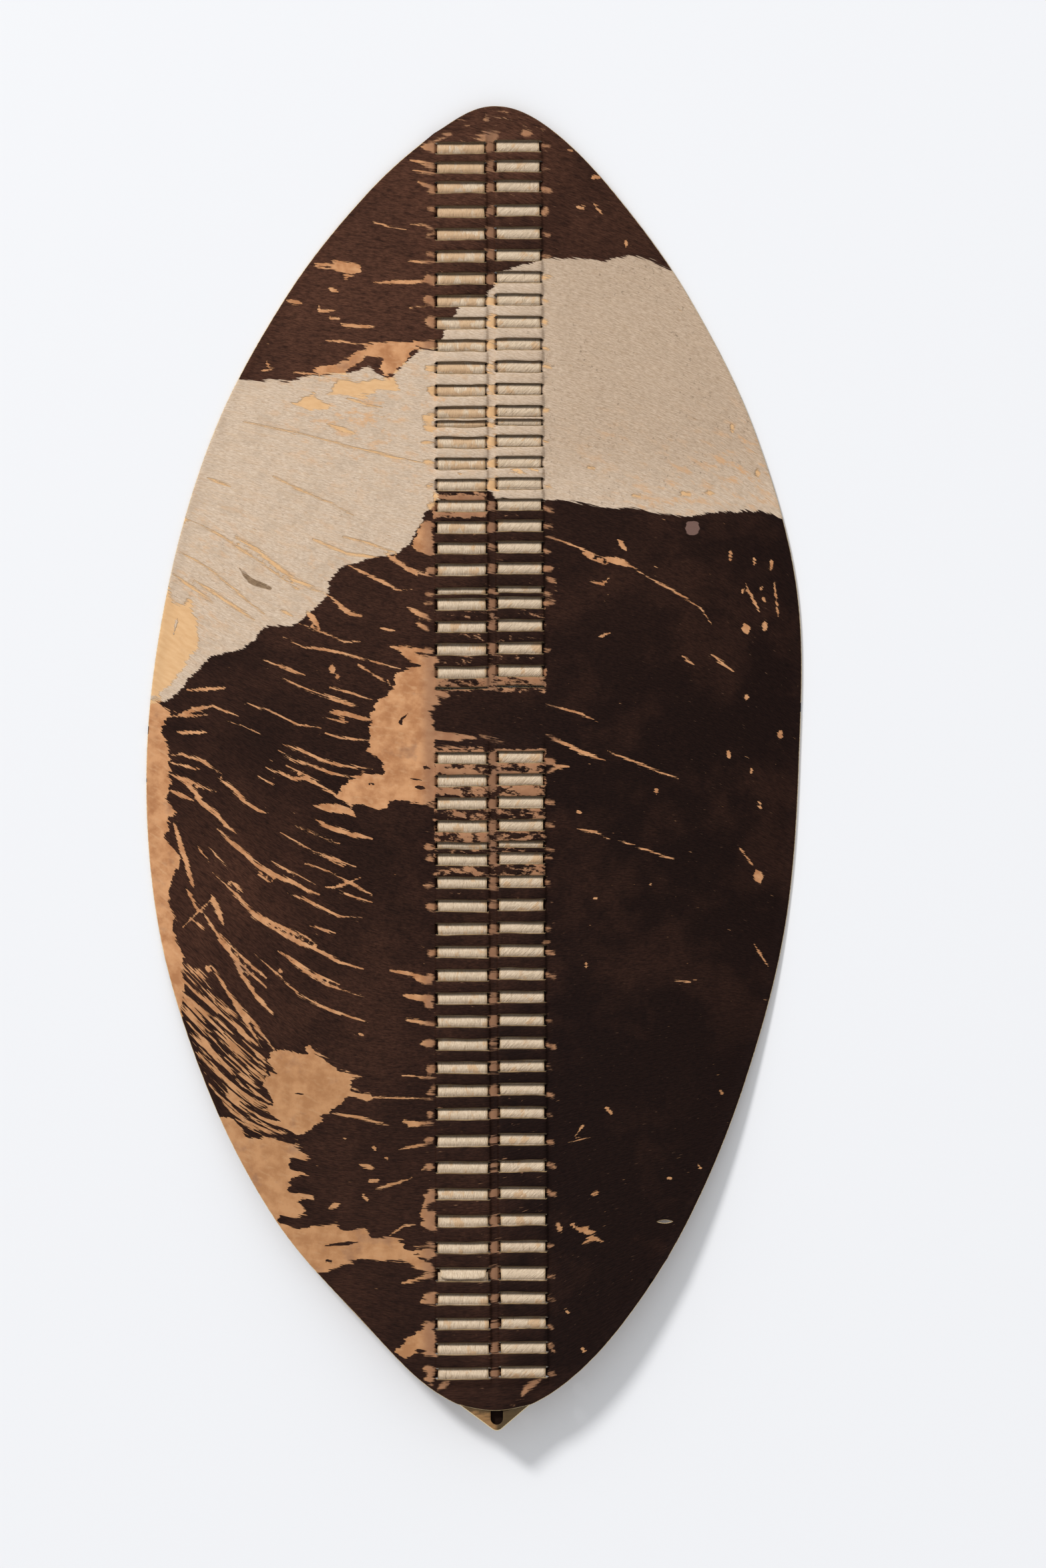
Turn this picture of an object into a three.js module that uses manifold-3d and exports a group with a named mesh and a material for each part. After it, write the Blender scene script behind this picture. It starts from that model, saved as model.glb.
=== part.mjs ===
// Hide shield: one almond-shaped sheet of cowhide with two columns of slits,
// and pale strips of hide laced through them. It lies on its back, hair side up.
// Millimetres, +Z up. The shield's top points along +Y, and the origin is under
// the middle of its box. "From top" is the distance down the shield from its top
// point, and "across" is the distance to the right of its spine.

import * as THREE from 'three';
import { mergeVertices } from 'three/addons/utils/BufferGeometryUtils.js';
import Module from 'manifold-3d';

const wasm = await Module();
wasm.setup();

// Outline
const LENGTH = 1320; // top point to bottom tip
const TAB_LENGTH = 18; // from where the two sides would meet to the bottom tip
const LEFT_WIDTH = 348; // from the spine to the widest point of the left side
const RIGHT_WIDTH = 304;
// The reach of each side as shares of its width, at equal turns round the almond from the top.
const LEFT_SHAPE = [0.152, 0.368, 0.601, 0.807, 0.94, 1, 0.966, 0.83, 0.629, 0.371, 0.178];
const RIGHT_SHAPE = [0.181, 0.395, 0.638, 0.855, 0.993, 1, 0.954, 0.819, 0.635, 0.418, 0.201];
const HIDE_THICKNESS = 3.2;

// Warp of the dried hide, at its underside
const CROWN = 30; // rise of the spine above the rim at mid-length
const CROWN_FULLNESS = 2.2; // higher numbers keep the middle flatter
const BRIM = 10; // flat band along the rim, which the shield rests on
const TOP_LIFT = 8; // rise of the rim at the top point
const TOP_LIFT_LENGTH = 200;
const TIP_LIFT = 45; // rise of the rim at the bottom tip
const TIP_LIFT_LENGTH = 530;

// Laces and the slits that they pass through
const LACE_THICKNESS = 2.6;
const LACE_CLEARANCE = 0.6; // least gap between a lace and the hide
const LEFT_LACE_WIDTH = { top: 47, bottom: 51 };
const RIGHT_LACE_WIDTH = { top: 43, bottom: 45 };
const LACE_GAP = 12; // between the two columns of lace
const LACE_GAP_CENTRE = { top: -4.7, bottom: 0.3 }; // across
const LACE_TAIL = 7; // end of a lace behind the hide
const LACE_WEAVE = 0.6; // how far a lace swings out at a window and in at a bridge
const SHOULDER = 2; // from the end of a tail to where the hide is back in its own surface
const SLIT_MARGIN = 3.5; // length of a slit past the lace's edge
const SLIT_GAP = 1.2;
const ROW_SLANT = 1.5; // the right column's slits sit this much higher
const BARE_SLIT_RAISE = 1.2; // how far the upper edge of the bare slits stands up
const RIM_AT_TAIL = { top: 2.5, bottom: 10.4 }; // hide left outside a lace's end near a tip

// Rows of windows from the top down. A window is the lace seen between two slits,
// "step" is how far its middle is below the window before, and "opening" its height.
// The steps stretch a little so that the rows fill the hide from tip to tip.
const WIDE = 9.6;
const NARROW = 4.6;
const FLAP_OPENING = 12;
const FLAP_OVERHANG = 0.5; // the flap stops this far short of the slit below it
const FLAP_TRIM = 2.5; // how much narrower the flap is on each side
const UPPER_ROWS = [
  { count: 2, step: 19.7, opening: WIDE },
  { count: 1, step: 24.5, opening: WIDE },
  { count: 9, step: 22.3, opening: WIDE },
  { count: 1, step: 11.2, opening: NARROW },
  { count: 1, step: 18.7, opening: WIDE },
  { count: 6, step: 21.1, opening: WIDE },
  { count: 1, step: 21.5, opening: NARROW },
  { count: 1, step: 13, opening: WIDE },
  { count: 3, step: 22.6, opening: WIDE },
];
const BARE_SLIT_STEP = 15.6; // below the middle of the last upper window
const GRIP_LENGTH = 70; // from the bare slit to the middle of the first lower window
const LOWER_ROWS = [
  { count: 3, step: 22.6, opening: WIDE },
  { count: 1, step: 19.2, opening: NARROW },
  { count: 1, step: 14, opening: WIDE },
  { count: 11, step: 23, opening: WIDE },
  { count: 5, step: 26.6, opening: WIDE },
  { count: 1, step: 26.6, opening: FLAP_OPENING, flap: true },
  { count: 4, step: 24.5, opening: WIDE },
];

// Bottom tip: a folded tab below the lip of the hide, with a pocket for a stick's end
const LIP_INSET = 8; // from the end of the almond up to the lip's corners
const LIP_SAG = 6;
const TAB_THICKNESS = 8;
const TAB_OVERLAP = 8; // length of the tab under the hide
const TAB_TAPER = 9; // how much narrower the tab's hidden end is on each side
const TAB_INSET = 1; // from the lip's corners in to the tab's sides
const TAB_DROP = 2.4; // from the hide's upper face down to the tab's
const TIP_ACROSS = 2;
const TIP_RADIUS = 8;
const POCKET_WIDTH = 12;
const POCKET_BACK = 2; // hide left behind the pocket
const POCKET_RIM = 6; // hide left below the pocket

// Old damage along the rim
const UPPER_CUT = { fromTip: 207.3, inset: 23, length: 16, height: 3, slope: 0 };
const LOWER_CUT = { fromTip: 172, inset: 14.5, length: 20, height: 5, slope: -0.12 };
const TEAR_HEIGHT = 0.8; // the lower cut is torn out to the rim
const TEAR_START = 0.4; // where the tear leaves the cut, as a share of the cut's length
const LEFT_NICK = { side: -1, fromTop: 623, radius: 4, depth: 2 };
const LEFT_SNIP = { side: -1, fromTop: 673, radius: 1.5, depth: 2.5 };
const RIGHT_NICK = { side: 1, fromTop: 600, radius: 5, depth: 1.5 };

const HIDE_COLOUR = '#33211c';
const LACE_COLOUR = '#c9b88e';

// Fractions of the way from a slit's end to the brim, for the hide's faces
const WING_STEPS = [1 / 2];
const SHOULDER_STEPS = 2;
const CAP_STEPS = 5;
const LIP_POINTS = 6;
const TIP_STEPS = 6;
const CUT_STEPS = 6;
const NICK_STEPS = 5;
const GRIP_BANDS = 3;
const RIM_SAMPLES = 4000;

const almondLength = LENGTH - TAB_LENGTH;
const leftReach = LEFT_SHAPE.map((share) => LEFT_WIDTH * share);
const rightReach = RIGHT_SHAPE.map((share) => RIGHT_WIDTH * share);

// Plan of the outline: a smooth curve through the reaches
function reach(stations, fromTop) {
  const cosine = THREE.MathUtils.clamp(1 - (2 * fromTop) / almondLength, -1, 1);
  const turn = (Math.acos(cosine) / Math.PI) * (stations.length + 1);
  const last = stations.length - 1;
  const values = [-stations[0], 0, ...stations, 0, -stations[last]];
  const index = Math.min(Math.floor(turn), stations.length);
  const [a, b, c, d] = values.slice(index, index + 4);
  const t = turn - index;
  const slopeIn = (c - a) / 2;
  const slopeOut = (d - b) / 2;
  const cubic = 2 * b - 2 * c + slopeIn + slopeOut;
  const square = 3 * c - 3 * b - 2 * slopeIn - slopeOut;
  return ((cubic * t + square) * t + slopeIn) * t + b;
}

function furthestReach(stations) {
  let furthest = 0;
  for (let i = 0; i <= RIM_SAMPLES; i += 1) {
    furthest = Math.max(furthest, reach(stations, (almondLength * i) / RIM_SAMPLES));
  }
  return furthest;
}

// How far from the top a side first reaches a width, searching from the top down or the tip up
function whereReach(stations, width, fromTip) {
  const step = (fromTip ? -1 : 1) * (almondLength / RIM_SAMPLES);
  let fromTop = fromTip ? almondLength : 0;
  for (let i = 0; i < RIM_SAMPLES && reach(stations, fromTop) < width; i += 1) {
    fromTop += step;
  }
  return fromTop;
}

const spineX = (furthestReach(leftReach) - furthestReach(rightReach)) / 2;

function sideReach(across, fromTop) {
  return reach(across < 0 ? leftReach : rightReach, fromTop);
}

// Height of the hide's underside
function rimLift(fromTop) {
  const nearTop = Math.max(0, 1 - fromTop / TOP_LIFT_LENGTH);
  const nearTip = Math.max(0, 1 - (LENGTH - fromTop) / TIP_LIFT_LENGTH);
  return TOP_LIFT * nearTop ** 2 + TIP_LIFT * nearTip ** 1.5;
}

function undersideHeight(across, fromTop) {
  const domeReach = Math.max(sideReach(across, fromTop) - BRIM, 1);
  const share = Math.min(Math.abs(across) / domeReach, 1);
  const crown = CROWN * Math.sin(Math.PI * THREE.MathUtils.clamp(fromTop / LENGTH, 0, 1));
  return rimLift(fromTop) + crown * (1 - share ** CROWN_FULLNESS);
}

function place(across, fromTop, height) {
  return new THREE.Vector3(spineX + across, LENGTH / 2 - fromTop, height);
}

// Edges of the two lace columns
function alongShield(range, fromTop) {
  return THREE.MathUtils.lerp(range.top, range.bottom, fromTop / LENGTH);
}

function leftLace(fromTop) {
  const inner = alongShield(LACE_GAP_CENTRE, fromTop) - LACE_GAP / 2;
  return { outer: inner - alongShield(LEFT_LACE_WIDTH, fromTop), inner };
}

function rightLace(fromTop) {
  const inner = alongShield(LACE_GAP_CENTRE, fromTop) + LACE_GAP / 2;
  return { outer: inner + alongShield(RIGHT_LACE_WIDTH, fromTop), inner };
}

// Rows of windows
const topTail = whereReach(leftReach, RIM_AT_TAIL.top - leftLace(0).outer, false);
const bottomTail = whereReach(leftReach, RIM_AT_TAIL.bottom - leftLace(LENGTH).outer, true);
const firstSlit = topTail + SHOULDER + LACE_TAIL;
const lastSlit = bottomTail - SHOULDER - LACE_TAIL;

function sumOfSteps(rows) {
  return rows.reduce((sum, { count, step }) => sum + count * step, 0);
}

const roomForSteps = lastSlit - firstSlit - WIDE - BARE_SLIT_STEP - GRIP_LENGTH;
const stretch = roomForSteps / (sumOfSteps(UPPER_ROWS) + sumOfSteps(LOWER_ROWS));

function windowsBelow(firstMiddle, rows) {
  let middle = firstMiddle;
  const windows = [{ middle, opening: WIDE }];
  for (const { count, step, opening, flap } of rows) {
    for (let i = 0; i < count; i += 1) {
      middle += step * stretch;
      windows.push({ middle, opening, flap });
    }
  }
  return windows;
}

const upperWindows = windowsBelow(firstSlit + WIDE / 2, UPPER_ROWS);
const bareSlit = upperWindows[upperWindows.length - 1].middle + BARE_SLIT_STEP;
const lowerWindows = windowsBelow(bareSlit + GRIP_LENGTH, LOWER_ROWS);

// How far the hide stands off its own surface to let a lace pass under or over it
const BRIDGE_RAISE = (HIDE_THICKNESS + LACE_THICKNESS) / 2 + LACE_CLEARANCE;
const FLAP_DROP = LACE_THICKNESS / 2 + LACE_CLEARANCE / 4;

// A level is a row of points across the hide. At a slit the hide parts: "above" and
// "below" are the heights of its two edges.
function windowLevels({ middle, opening, flap }) {
  const push = -BRIDGE_RAISE;
  const leftPush = flap ? push - FLAP_DROP : push;
  return [
    {
      fromTop: middle - opening / 2,
      above: { left: BRIDGE_RAISE, right: BRIDGE_RAISE },
      below: { left: leftPush, right: push },
      wing: true,
    },
    {
      fromTop: middle + opening / 2,
      above: { left: leftPush, right: push },
      below: { left: BRIDGE_RAISE, right: BRIDGE_RAISE },
      wing: false,
    },
  ];
}

function gripLevels() {
  const flat = { left: 0, right: 0 };
  const raised = { left: BARE_SLIT_RAISE, right: BARE_SLIT_RAISE };
  const levels = [{ fromTop: bareSlit, above: raised, below: flat, wing: true }];
  for (let i = 1; i < GRIP_BANDS; i += 1) {
    levels.push({ fromTop: bareSlit + (GRIP_LENGTH * i) / GRIP_BANDS, wing: true });
  }
  return levels;
}

// The hide is drawn in plan as faces between numbered points, then given its thickness
class Sheet {
  constructor() {
    this.points = [];
    this.faces = [];
  }

  point(across, fromTop, raise = 0) {
    this.points.push(place(across, fromTop, undersideHeight(across, fromTop) + raise));
    return this.points.length - 1;
  }

  // Points run anticlockwise seen from above
  face(...corners) {
    for (let i = 2; i < corners.length; i += 1) {
      this.faces.push([corners[0], corners[i - 1], corners[i]]);
    }
  }

  // Triangles between two rows that both run from left to right
  zip(upper, lower) {
    let i = 0;
    let j = 0;
    while (i + 1 < upper.length || j + 1 < lower.length) {
      const nextUpper = i + 1 < upper.length ? this.points[upper[i + 1]].x : Infinity;
      const nextLower = j + 1 < lower.length ? this.points[lower[j + 1]].x : Infinity;
      if (nextUpper < nextLower) {
        this.face(upper[i], lower[j], upper[i + 1]);
        i += 1;
      } else {
        this.face(upper[i], lower[j], lower[j + 1]);
        j += 1;
      }
    }
  }

  outlineFace(corners) {
    const contour = corners.map((i) => new THREE.Vector2(this.points[i].x, this.points[i].y));
    for (const triangle of THREE.ShapeUtils.triangulateShape(contour, [])) {
      this.faces.push(triangle.map((i) => corners[i]));
    }
  }

  thicken(thickness) {
    const count = this.points.length;
    const positions = [];
    for (const lift of [0, thickness]) {
      for (const { x, y, z } of this.points) {
        positions.push(x, y, z + lift);
      }
    }
    const index = [];
    const edges = new Set();
    for (const [a, b, c] of this.faces) {
      index.push(a + count, b + count, c + count, a, c, b);
      for (const edge of [[a, b], [b, c], [c, a]]) {
        edges.add(edge.join());
      }
    }
    for (const edge of edges) {
      const [a, b] = edge.split(',').map(Number);
      if (!edges.has(`${b},${a}`)) {
        index.push(a, b, b + count, a, b + count, a + count);
      }
    }
    return meshGeometry(positions, index);
  }
}

function meshGeometry(positions, index) {
  const geometry = new THREE.BufferGeometry();
  geometry.setAttribute('position', new THREE.Float32BufferAttribute(positions, 3));
  geometry.setIndex(index);
  return geometry;
}

// One level's points, from the left rim to the right rim
function levelPoints(sheet, level) {
  const leftTop = level.fromTop + ROW_SLANT / 2;
  const rightTop = level.fromTop - ROW_SLANT / 2;
  const left = leftLace(leftTop);
  const right = rightLace(rightTop);
  const leftSlit = [left.outer - SLIT_MARGIN, left.inner + SLIT_MARGIN];
  const rightSlit = [right.inner - SLIT_MARGIN, right.outer + SLIT_MARGIN];
  const ends = {
    leftOuter: sheet.point(leftSlit[0], leftTop),
    leftInner: sheet.point(leftSlit[1], leftTop),
    rightInner: sheet.point(rightSlit[0], rightTop),
    rightOuter: sheet.point(rightSlit[1], rightTop),
  };
  const edge = (heights, shift) => [
    ends.leftOuter,
    sheet.point(left.outer - LACE_CLEARANCE, leftTop + shift, heights.left),
    sheet.point(left.inner + LACE_CLEARANCE, leftTop + shift, heights.left),
    ends.leftInner,
    ends.rightInner,
    sheet.point(right.inner - LACE_CLEARANCE, rightTop + shift, heights.right),
    sheet.point(right.outer + LACE_CLEARANCE, rightTop + shift, heights.right),
    ends.rightOuter,
  ];
  let above;
  let below;
  if (level.above) {
    above = edge(level.above, -SLIT_GAP / 2);
    below = edge(level.below, SLIT_GAP / 2);
  } else {
    above = edge({ left: 0, right: 0 }, 0);
    below = above;
  }
  if (!level.wing) {
    return { above, below };
  }
  return {
    above,
    below,
    leftWing: wingPoints(sheet, leftSlit[0], leftTop),
    rightWing: wingPoints(sheet, rightSlit[1], rightTop),
  };
}

// Points from beside a slit's end out to the rim
function wingPoints(sheet, slitEnd, fromTop) {
  const rim = Math.sign(slitEnd) * sideReach(slitEnd, fromTop);
  const brimShare = Math.max(1 - BRIM / Math.abs(rim - slitEnd), 0.5);
  const brim = THREE.MathUtils.lerp(slitEnd, rim, brimShare);
  const steps = WING_STEPS.map((share) => THREE.MathUtils.lerp(slitEnd, brim, share));
  return [...steps, brim, rim].map((across) => sheet.point(across, fromTop));
}

function joinLevels(sheet, levels) {
  for (let i = 1; i < levels.length; i += 1) {
    const upper = levels[i - 1].below;
    const lower = levels[i].above;
    for (let j = 1; j < upper.length; j += 1) {
      sheet.face(upper[j - 1], lower[j - 1], lower[j], upper[j]);
    }
  }
}

function joinWings(sheet, levels) {
  let start = 0;
  for (let end = 1; end < levels.length; end += 1) {
    if (levels[end].leftWing) {
      joinWingPair(sheet, levels.slice(start, end + 1));
      start = end;
    }
  }
}

// Faces between two levels that have wings, and past the slit ends between them
function joinWingPair(sheet, between) {
  const leftEnds = between.map((level) => level.above[0]);
  const rightEnds = between.map((level) => level.above[level.above.length - 1]);
  const { leftWing: leftUp, rightWing: rightUp } = between[0];
  const { leftWing: leftDown, rightWing: rightDown } = between[between.length - 1];
  sheet.face(leftUp[0], leftDown[0], ...leftEnds.reverse());
  sheet.face(rightUp[0], ...rightEnds, rightDown[0]);
  for (let j = 1; j < leftUp.length; j += 1) {
    sheet.face(leftUp[j], leftDown[j], leftDown[j - 1], leftUp[j - 1]);
    sheet.face(rightUp[j], rightUp[j - 1], rightDown[j - 1], rightDown[j]);
  }
}

// Rim points between two distances from the top, closer together towards the tips
function rimPoints(sheet, side, from, to, steps) {
  const angle = (fromTop) => Math.acos(1 - (2 * fromTop) / almondLength);
  const points = [];
  for (let i = 1; i < steps; i += 1) {
    const turn = THREE.MathUtils.lerp(angle(from), angle(to), i / steps);
    const fromTop = (almondLength * (1 - Math.cos(turn))) / 2;
    points.push(sheet.point(side * sideReach(side, fromTop), fromTop));
  }
  return points;
}

function levelRow(level, chain) {
  return [...[...level.leftWing].reverse(), ...chain, ...level.rightWing];
}

function shoulderRow(sheet, fromTop) {
  const left = leftLace(fromTop);
  const right = rightLace(fromTop);
  const row = [
    -sideReach(-1, fromTop),
    left.outer - LACE_CLEARANCE,
    left.inner + LACE_CLEARANCE,
    right.inner - LACE_CLEARANCE,
    right.outer + LACE_CLEARANCE,
    sideReach(1, fromTop),
  ];
  return row.map((across) => sheet.point(across, fromTop));
}

function topCap(sheet, level) {
  const shoulder = firstSlit - LACE_TAIL - SHOULDER;
  const row = shoulderRow(sheet, shoulder);
  sheet.zip(row, levelRow(level, level.above));
  const rightTip = rimPoints(sheet, 1, shoulder, 0, CAP_STEPS);
  const leftTip = rimPoints(sheet, -1, 0, shoulder, CAP_STEPS);
  sheet.outlineFace([...row, ...rightTip, sheet.point(0, 0), ...leftTip]);
}

const lipCorner = almondLength - LIP_INSET;

function lipPoints(sheet) {
  const from = -sideReach(-1, lipCorner);
  const to = sideReach(1, lipCorner);
  const lip = [];
  for (let i = 0; i <= LIP_POINTS; i += 1) {
    const share = i / LIP_POINTS;
    const sag = LIP_SAG * Math.sin(Math.PI * share);
    lip.push(sheet.point(THREE.MathUtils.lerp(from, to, share), lipCorner + sag));
  }
  return lip;
}

function bottomCap(sheet, level, slit) {
  const shoulder = slit + LACE_TAIL + SHOULDER;
  const row = shoulderRow(sheet, shoulder);
  sheet.zip(levelRow(level, level.below), row);
  const leftTip = rimPoints(sheet, -1, shoulder, lipCorner, SHOULDER_STEPS);
  const rightTip = rimPoints(sheet, 1, lipCorner, shoulder, SHOULDER_STEPS);
  sheet.outlineFace([...[...row].reverse(), ...leftTip, ...lipPoints(sheet), ...rightTip]);
}

// Booleans
function toSolid(geometry) {
  const bare = geometry.clone();
  bare.deleteAttribute('normal');
  bare.deleteAttribute('uv');
  const merged = mergeVertices(bare);
  return new wasm.Manifold(
    new wasm.Mesh({
      numProp: 3,
      vertProperties: new Float32Array(merged.attributes.position.array),
      triVerts: new Uint32Array(merged.index.array),
    }),
  );
}

function fromSolid(solid) {
  const { vertProperties, triVerts } = solid.getMesh();
  return meshGeometry(Array.from(vertProperties), Array.from(triVerts));
}

function extrude(shape, from, to, curveSegments = TIP_STEPS) {
  const options = { depth: to - from, bevelEnabled: false, curveSegments };
  return new THREE.ExtrudeGeometry(shape, options).translate(0, 0, from);
}

function shapeThrough(points) {
  return new THREE.Shape(points.map(({ x, y }) => new THREE.Vector2(x, y)));
}

// Where a straight side from a corner meets the rounded tip
function tangentAngle(corner, centre, radius, side) {
  const offset = corner.clone().sub(centre);
  return Math.atan2(offset.y, offset.x) + side * Math.acos(radius / offset.length());
}

function tipTab() {
  const face = undersideHeight(0, lipCorner) + HIDE_THICKNESS - TAB_DROP;
  const left = place(TAB_INSET - sideReach(-1, lipCorner), lipCorner, 0);
  const right = place(sideReach(1, lipCorner) - TAB_INSET, lipCorner, 0);
  const centre = place(TIP_ACROSS, LENGTH - TIP_RADIUS, 0);
  const up = new THREE.Vector3(TAB_TAPER, TAB_OVERLAP, 0);
  const outline = [];
  outline.push(right.clone().add(new THREE.Vector3(-TAB_TAPER, TAB_OVERLAP, 0)));
  outline.push(left.clone().add(up), left);
  const startAngle = tangentAngle(left, centre, TIP_RADIUS, 1);
  const endAngle = tangentAngle(right, centre, TIP_RADIUS, -1);
  const sweep = THREE.MathUtils.euclideanModulo(endAngle - startAngle, 2 * Math.PI);
  for (let i = 0; i <= TIP_STEPS; i += 1) {
    const angle = startAngle + (sweep * i) / TIP_STEPS;
    const spoke = new THREE.Vector3(Math.cos(angle), Math.sin(angle), 0);
    outline.push(centre.clone().addScaledVector(spoke, TIP_RADIUS));
  }
  outline.push(right);
  const tab = toSolid(extrude(shapeThrough(outline), face - TAB_THICKNESS, face));

  const half = POCKET_WIDTH / 2;
  const foot = place(TIP_ACROSS, LENGTH - POCKET_RIM - half, 0);
  const head = place(TIP_ACROSS, lipCorner - TAB_OVERLAP / 2, 0);
  const pocket = new THREE.Shape();
  pocket.moveTo(head.x - half, head.y);
  pocket.lineTo(foot.x - half, foot.y);
  pocket.absarc(foot.x, foot.y, half, Math.PI, 2 * Math.PI, false);
  pocket.lineTo(head.x + half, head.y);
  const floor = face - TAB_THICKNESS + POCKET_BACK;
  return tab.subtract(toSolid(extrude(pocket, floor, face + HIDE_THICKNESS)));
}

// A cut with two curved sides that meet in points
function lensShape({ fromTip, inset, length, height, slope }) {
  const fromTop = LENGTH - fromTip;
  const middle = place(sideReach(1, fromTop) - inset, fromTop, 0);
  const points = [];
  for (let i = 0; i < 2 * CUT_STEPS; i += 1) {
    const below = i < CUT_STEPS;
    const share = below ? i / CUT_STEPS : 2 - i / CUT_STEPS;
    const bulge = (below ? -1 : 1) * Math.sin(Math.PI * share) * (height / 2);
    const along = (share - 0.5) * length;
    points.push({ x: middle.x + along, y: middle.y + bulge + along * slope });
  }
  return shapeThrough(points);
}

// A slot from inside a cut out past the rim
function tearShape({ fromTip, inset, length, slope }) {
  const fromTop = LENGTH - fromTip;
  const start = place(sideReach(1, fromTop) - inset + length * TEAR_START, fromTop, 0);
  const end = start.x + inset;
  const middle = start.y + slope * length * TEAR_START;
  const lower = middle - TEAR_HEIGHT / 2;
  const upper = middle + TEAR_HEIGHT / 2;
  return shapeThrough([
    { x: start.x, y: lower },
    { x: end, y: lower },
    { x: end, y: upper },
    { x: start.x, y: upper },
  ]);
}

function nickShape({ side, fromTop, radius, depth }) {
  const centre = place(side * (sideReach(side, fromTop) + radius - depth), fromTop, 0);
  const nick = new THREE.Shape();
  nick.absarc(centre.x, centre.y, radius, 0, 2 * Math.PI, false);
  return nick;
}

function rimDamage() {
  const shapes = [
    lensShape(UPPER_CUT),
    lensShape(LOWER_CUT),
    tearShape(LOWER_CUT),
    nickShape(LEFT_NICK),
    nickShape(LEFT_SNIP),
    nickShape(RIGHT_NICK),
  ];
  const top = CROWN + TOP_LIFT + TIP_LIFT + HIDE_THICKNESS;
  return shapes.map((shape) => extrude(shape, -HIDE_THICKNESS, top, NICK_STEPS));
}

function hideGeometry() {
  const sheet = new Sheet();
  const levels = [
    ...upperWindows.flatMap(windowLevels),
    ...gripLevels(),
    ...lowerWindows.flatMap(windowLevels),
  ];
  levels[levels.length - 1].wing = true;
  const rows = levels.map((level) => levelPoints(sheet, level));
  topCap(sheet, rows[0]);
  joinLevels(sheet, rows);
  joinWings(sheet, rows);
  bottomCap(sheet, rows[rows.length - 1], levels[levels.length - 1].fromTop);
  let hide = toSolid(sheet.thicken(HIDE_THICKNESS)).add(tipTab());
  for (const cutter of rimDamage()) {
    hide = hide.subtract(toSolid(cutter));
  }
  return fromSolid(hide);
}

// A lace is a flat strip through stations of { fromTop, offset }, where the offset is
// measured from the middle of the hide's thickness
function laceGeometry(column, stations) {
  const positions = [];
  for (const { fromTop, offset, trim = 0 } of stations) {
    const edges = column(fromTop);
    const inward = Math.sign(edges.inner - edges.outer) * trim;
    const sides = [edges.outer + inward, edges.inner - inward].sort((a, b) => a - b);
    for (const across of sides) {
      const middle = undersideHeight(across, fromTop) + HIDE_THICKNESS / 2 + offset;
      for (const lift of [-LACE_THICKNESS / 2, LACE_THICKNESS / 2]) {
        positions.push(...place(across, fromTop, middle + lift).toArray());
      }
    }
  }
  const index = [0, 1, 3, 0, 3, 2];
  for (let i = 1; i < stations.length; i += 1) {
    const a = (i - 1) * 4;
    const b = i * 4;
    for (const [from, to] of [[0, 2], [2, 3], [3, 1], [1, 0]]) {
      index.push(a + from, a + to, b + to, a + from, b + to, b + from);
    }
  }
  const end = (stations.length - 1) * 4;
  index.push(end, end + 3, end + 1, end, end + 2, end + 3);
  return meshGeometry(positions, index);
}

// Out at each window, in behind each bridge
function wovenStations(windows, slant) {
  const stations = [];
  windows.forEach(({ middle }, i) => {
    if (i > 0) {
      const bridge = (windows[i - 1].middle + middle) / 2;
      stations.push({ fromTop: bridge + slant, offset: -LACE_WEAVE });
    }
    stations.push({ fromTop: middle + slant, offset: LACE_WEAVE });
  });
  return stations;
}

const behind = -BRIDGE_RAISE;

function startTail(windows, slant) {
  const slit = windows[0].middle - windows[0].opening / 2 + slant;
  return [{ fromTop: slit - LACE_TAIL, offset: behind }, { fromTop: slit, offset: 0 }];
}

function endTail(windows, slant) {
  const last = windows[windows.length - 1];
  const slit = last.middle + last.opening / 2 + slant;
  return [{ fromTop: slit, offset: 0 }, { fromTop: slit + LACE_TAIL, offset: behind }];
}

function wholeLace(windows, slant) {
  return [
    ...startTail(windows, slant),
    ...wovenStations(windows, slant),
    ...endTail(windows, slant),
  ];
}

// The lower left lace ends in a loose flap over the start of a second, shorter lace
const slantLeft = ROW_SLANT / 2;
const slantRight = -ROW_SLANT / 2;
const flapIndex = lowerWindows.findIndex((window) => window.flap);
const flapWindow = lowerWindows[flapIndex];

function flappedLace() {
  const upper = lowerWindows.slice(0, flapIndex);
  const slit = flapWindow.middle - flapWindow.opening / 2 + slantLeft;
  const bridge = (upper[upper.length - 1].middle + flapWindow.middle) / 2 + slantLeft;
  const lift = LACE_THICKNESS / 2 + LACE_CLEARANCE;
  return [
    ...startTail(upper, slantLeft),
    ...wovenStations(upper, slantLeft),
    { fromTop: bridge, offset: -LACE_WEAVE },
    { fromTop: slit, offset: 0, trim: FLAP_TRIM / 2 },
    { fromTop: slit + flapWindow.opening / 4, offset: lift, trim: FLAP_TRIM },
    {
      fromTop: slit + flapWindow.opening - FLAP_OVERHANG,
      offset: lift + LACE_CLEARANCE,
      trim: FLAP_TRIM,
    },
  ];
}

function secondLace() {
  const lower = lowerWindows.slice(flapIndex + 1);
  const top = flapWindow.middle - flapWindow.opening / 5 + slantLeft;
  const slit = flapWindow.middle + flapWindow.opening / 2 + slantLeft;
  const bridge = (flapWindow.middle + lower[0].middle) / 2 + slantLeft;
  return [
    { fromTop: top, offset: -FLAP_DROP },
    { fromTop: slit, offset: -LACE_WEAVE },
    { fromTop: bridge, offset: -LACE_WEAVE },
    ...wovenStations(lower, slantLeft),
    ...endTail(lower, slantLeft),
  ];
}

function mesh(name, geometry, color) {
  const material = new THREE.MeshStandardMaterial({ color, roughness: 0.8, metalness: 0 });
  const made = new THREE.Mesh(geometry, material);
  made.name = name;
  return made;
}

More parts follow.
